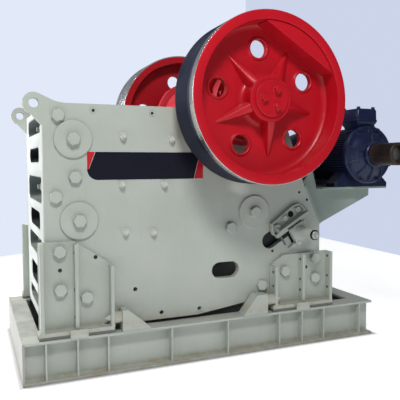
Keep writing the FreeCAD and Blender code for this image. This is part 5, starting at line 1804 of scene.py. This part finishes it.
@dataclass
class Studio:
    """Pale floor, soft lights and the camera."""

    eye: Triple = (-2.085, -5.0975, 1.6824)
    heading: float = math.radians(23.76)
    pitch: float = math.radians(-3.09)
    roll: float = math.radians(0.15)
    lens: float = 49.37
    shift: Pair = (-0.0338, -0.016)
    floor_colour: Colour = (0.5, 0.5, 0.505)
    floor_glow: float = 0.8
    floor_roughness: float = 0.6
    glow_starts: float = 0.07
    backdrop: Colour = (0.76, 0.82, 0.95)
    backdrop_right: Colour = (0.6, 0.66, 0.82)
    ambient: Colour = (0.155, 0.165, 0.195)
    wall_bearing: float = 0.057
    wall_blend: float = 0.0015
    floor_outline: Sequence[Pair] = ((-36.56, -31.26), (3.66, -31.26), (5.34, 9.43), (-36.56, -13.55))
    panels: Sequence[Panel] = (
        Panel("feed_end_panel", (-4.4, 1.4, 3.0), (-1.6, 0.0, 1.5), (2.2, 2.2), 240.0, (1.0, 0.995, 0.99)),
        Panel("overhead_front_panel", (-1.7, -4.5, 5.6), (-0.3, -0.6, 0.8), (1.3, 0.9), 228.0),
        Panel("back_panel", (6.5, 4.0, 4.0), (0.0, 0.0, 1.4), (4.0, 4.0), 24.0, (0.92, 0.95, 1.0)))

    def build(self) -> None:
        """Set up floor, lights, sky and camera."""
        self.floor()
        self.lights()
        self.world()
        self.camera()

    def floor(self) -> None:
        """A broad pale floor, which glows everywhere but under the base and close to it, where the missing glow
        paints a shadow.
        """
        mesh = bpy.data.meshes.new("studio_floor")
        face = tuple(range(len(self.floor_outline)))
        mesh.from_pydata([(x, y, 0.0) for x, y in self.floor_outline], [], [face])
        made = bpy.data.objects.new("studio_floor", mesh)
        bpy.context.scene.collection.objects.link(made)
        material, sheet, place = new_material("floor_white")
        apart = sheet.apart(place)
        bases = [box(node) for node in (*both("base_beam"), "base_front_channel", "base_rear_beam")]
        low = np.min([base[0] for base in bases], axis=0)
        high = np.max([base[1] for base in bases], axis=0)
        beyond = [sheet.maths("MAXIMUM", sheet.minus(float(low[axis]), apart[axis]),
                              sheet.minus(apart[axis], float(high[axis]))) for axis in (0, 1)]
        # painted shadow: no glow inside the base's outline, rising to full glow within glow_starts outside it
        outside = sheet.ramp(sheet.maths("MAXIMUM", *beyond), 0.0, self.glow_starts)
        sheet.surface({"Base Color": rgba(self.floor_colour), "Roughness": self.floor_roughness,
                       "Emission Color": (1.0, 1.0, 1.0, 1.0),
                       "Emission Strength": sheet.times(outside, self.floor_glow)})
        mesh.materials.append(material)
        made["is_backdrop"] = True

    def lights(self) -> None:
        """Soft panels: at the feed end, over the near side, and a weak one behind."""
        for panel in self.panels:
            light = bpy.data.lights.new(panel.name, "AREA")
            light.shape = "RECTANGLE"
            light.size, light.size_y = panel.size
            light.energy, light.color = panel.power, panel.colour
            made = bpy.data.objects.new(panel.name, light)
            made.location = panel.place
            made.rotation_euler = self.aim(np.array(panel.target) - np.array(panel.place))
            bpy.context.scene.collection.objects.link(made)

    def world(self) -> None:
        """A pale backdrop in two tones that lights the object less than it shows; plain colours."""
        sky = bpy.data.worlds.new("studio_sky")
        sky.use_nodes = True
        sheet = Sheet(sky.node_tree)
        seen = sheet.node("ShaderNodeLightPath").outputs["Is Camera Ray"]
        ray = sheet.node("ShaderNodeTexCoord").outputs["Generated"]
        right = (math.cos(self.heading), -math.sin(self.heading), 0.0)
        heading = sheet.node("ShaderNodeVectorMath", {0: ray, 1: right}, operation="DOT_PRODUCT")
        corner = sheet.ramp(heading.outputs["Value"], self.wall_bearing - self.wall_blend, self.wall_bearing)
        shown = sheet.mix(corner, rgba(self.backdrop), rgba(self.backdrop_right))
        colour = sheet.mix(seen, rgba(self.ambient), shown)
        light = sheet.node("ShaderNodeBackground", {"Color": colour, "Strength": 1.0})
        sheet.node("ShaderNodeOutputWorld", {"Surface": light.outputs[0]})
        bpy.context.scene.world = sky
        bpy.context.scene.view_settings.view_transform = "Standard"

    @staticmethod
    def aim(direction: Array) -> Triple:
        """Euler angles that point -Z along a direction with +Y up."""
        x, y, z = direction / np.linalg.norm(direction)
        return (math.acos(-z), 0.0, math.atan2(-x, y))

    def camera(self) -> None:
        """The camera, with a little roll and a shifted frame."""
        data = bpy.data.cameras.new("studio_camera")
        data.lens, data.sensor_width = self.lens, 36.0
        data.shift_x, data.shift_y = self.shift
        data.clip_end = 200.0
        made = bpy.data.objects.new("studio_camera", data)
        level = math.cos(self.pitch)
        direction = np.array([math.sin(self.heading) * level, math.cos(self.heading) * level,
                              math.sin(self.pitch)])
        made.location = self.eye
        made.rotation_euler = self.aim(direction)
        made.rotation_euler.rotate_axis("Z", -self.roll)
        bpy.context.scene.collection.objects.link(made)
        bpy.context.scene.camera = made


# ------------------------------------------------------------------ assembly
def corners(bounds: Sequence[Sequence[float]]) -> list[list[float]]:
    """A box as plain lists of numbers."""
    return [[float(part) for part in corner] for corner in bounds]


def main() -> None:
    """Build every sub-assembly in order and measure the sizes before and after."""
    logging.basicConfig(level=logging.INFO, format="%(message)s")
    cad = corners(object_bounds())
    shop = Workshop()
    dress_nodes(shop)
    assemblies = [FrontCasting(), Chamber(), Housings(), Bracket(), Motor()]
    for side in Side:
        assemblies += [Flywheel(side), PlateDetails(side), Feet(side), Guides(side)]
    for assembly in assemblies:
        LOG.info("building %s", type(assembly).__name__)
        assembly.build(shop)
    Studio().build()
    bpy.context.view_layer.update()
    {"cad": cad, "visual": corners(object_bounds())}


if __name__ == "__main__":
    main()
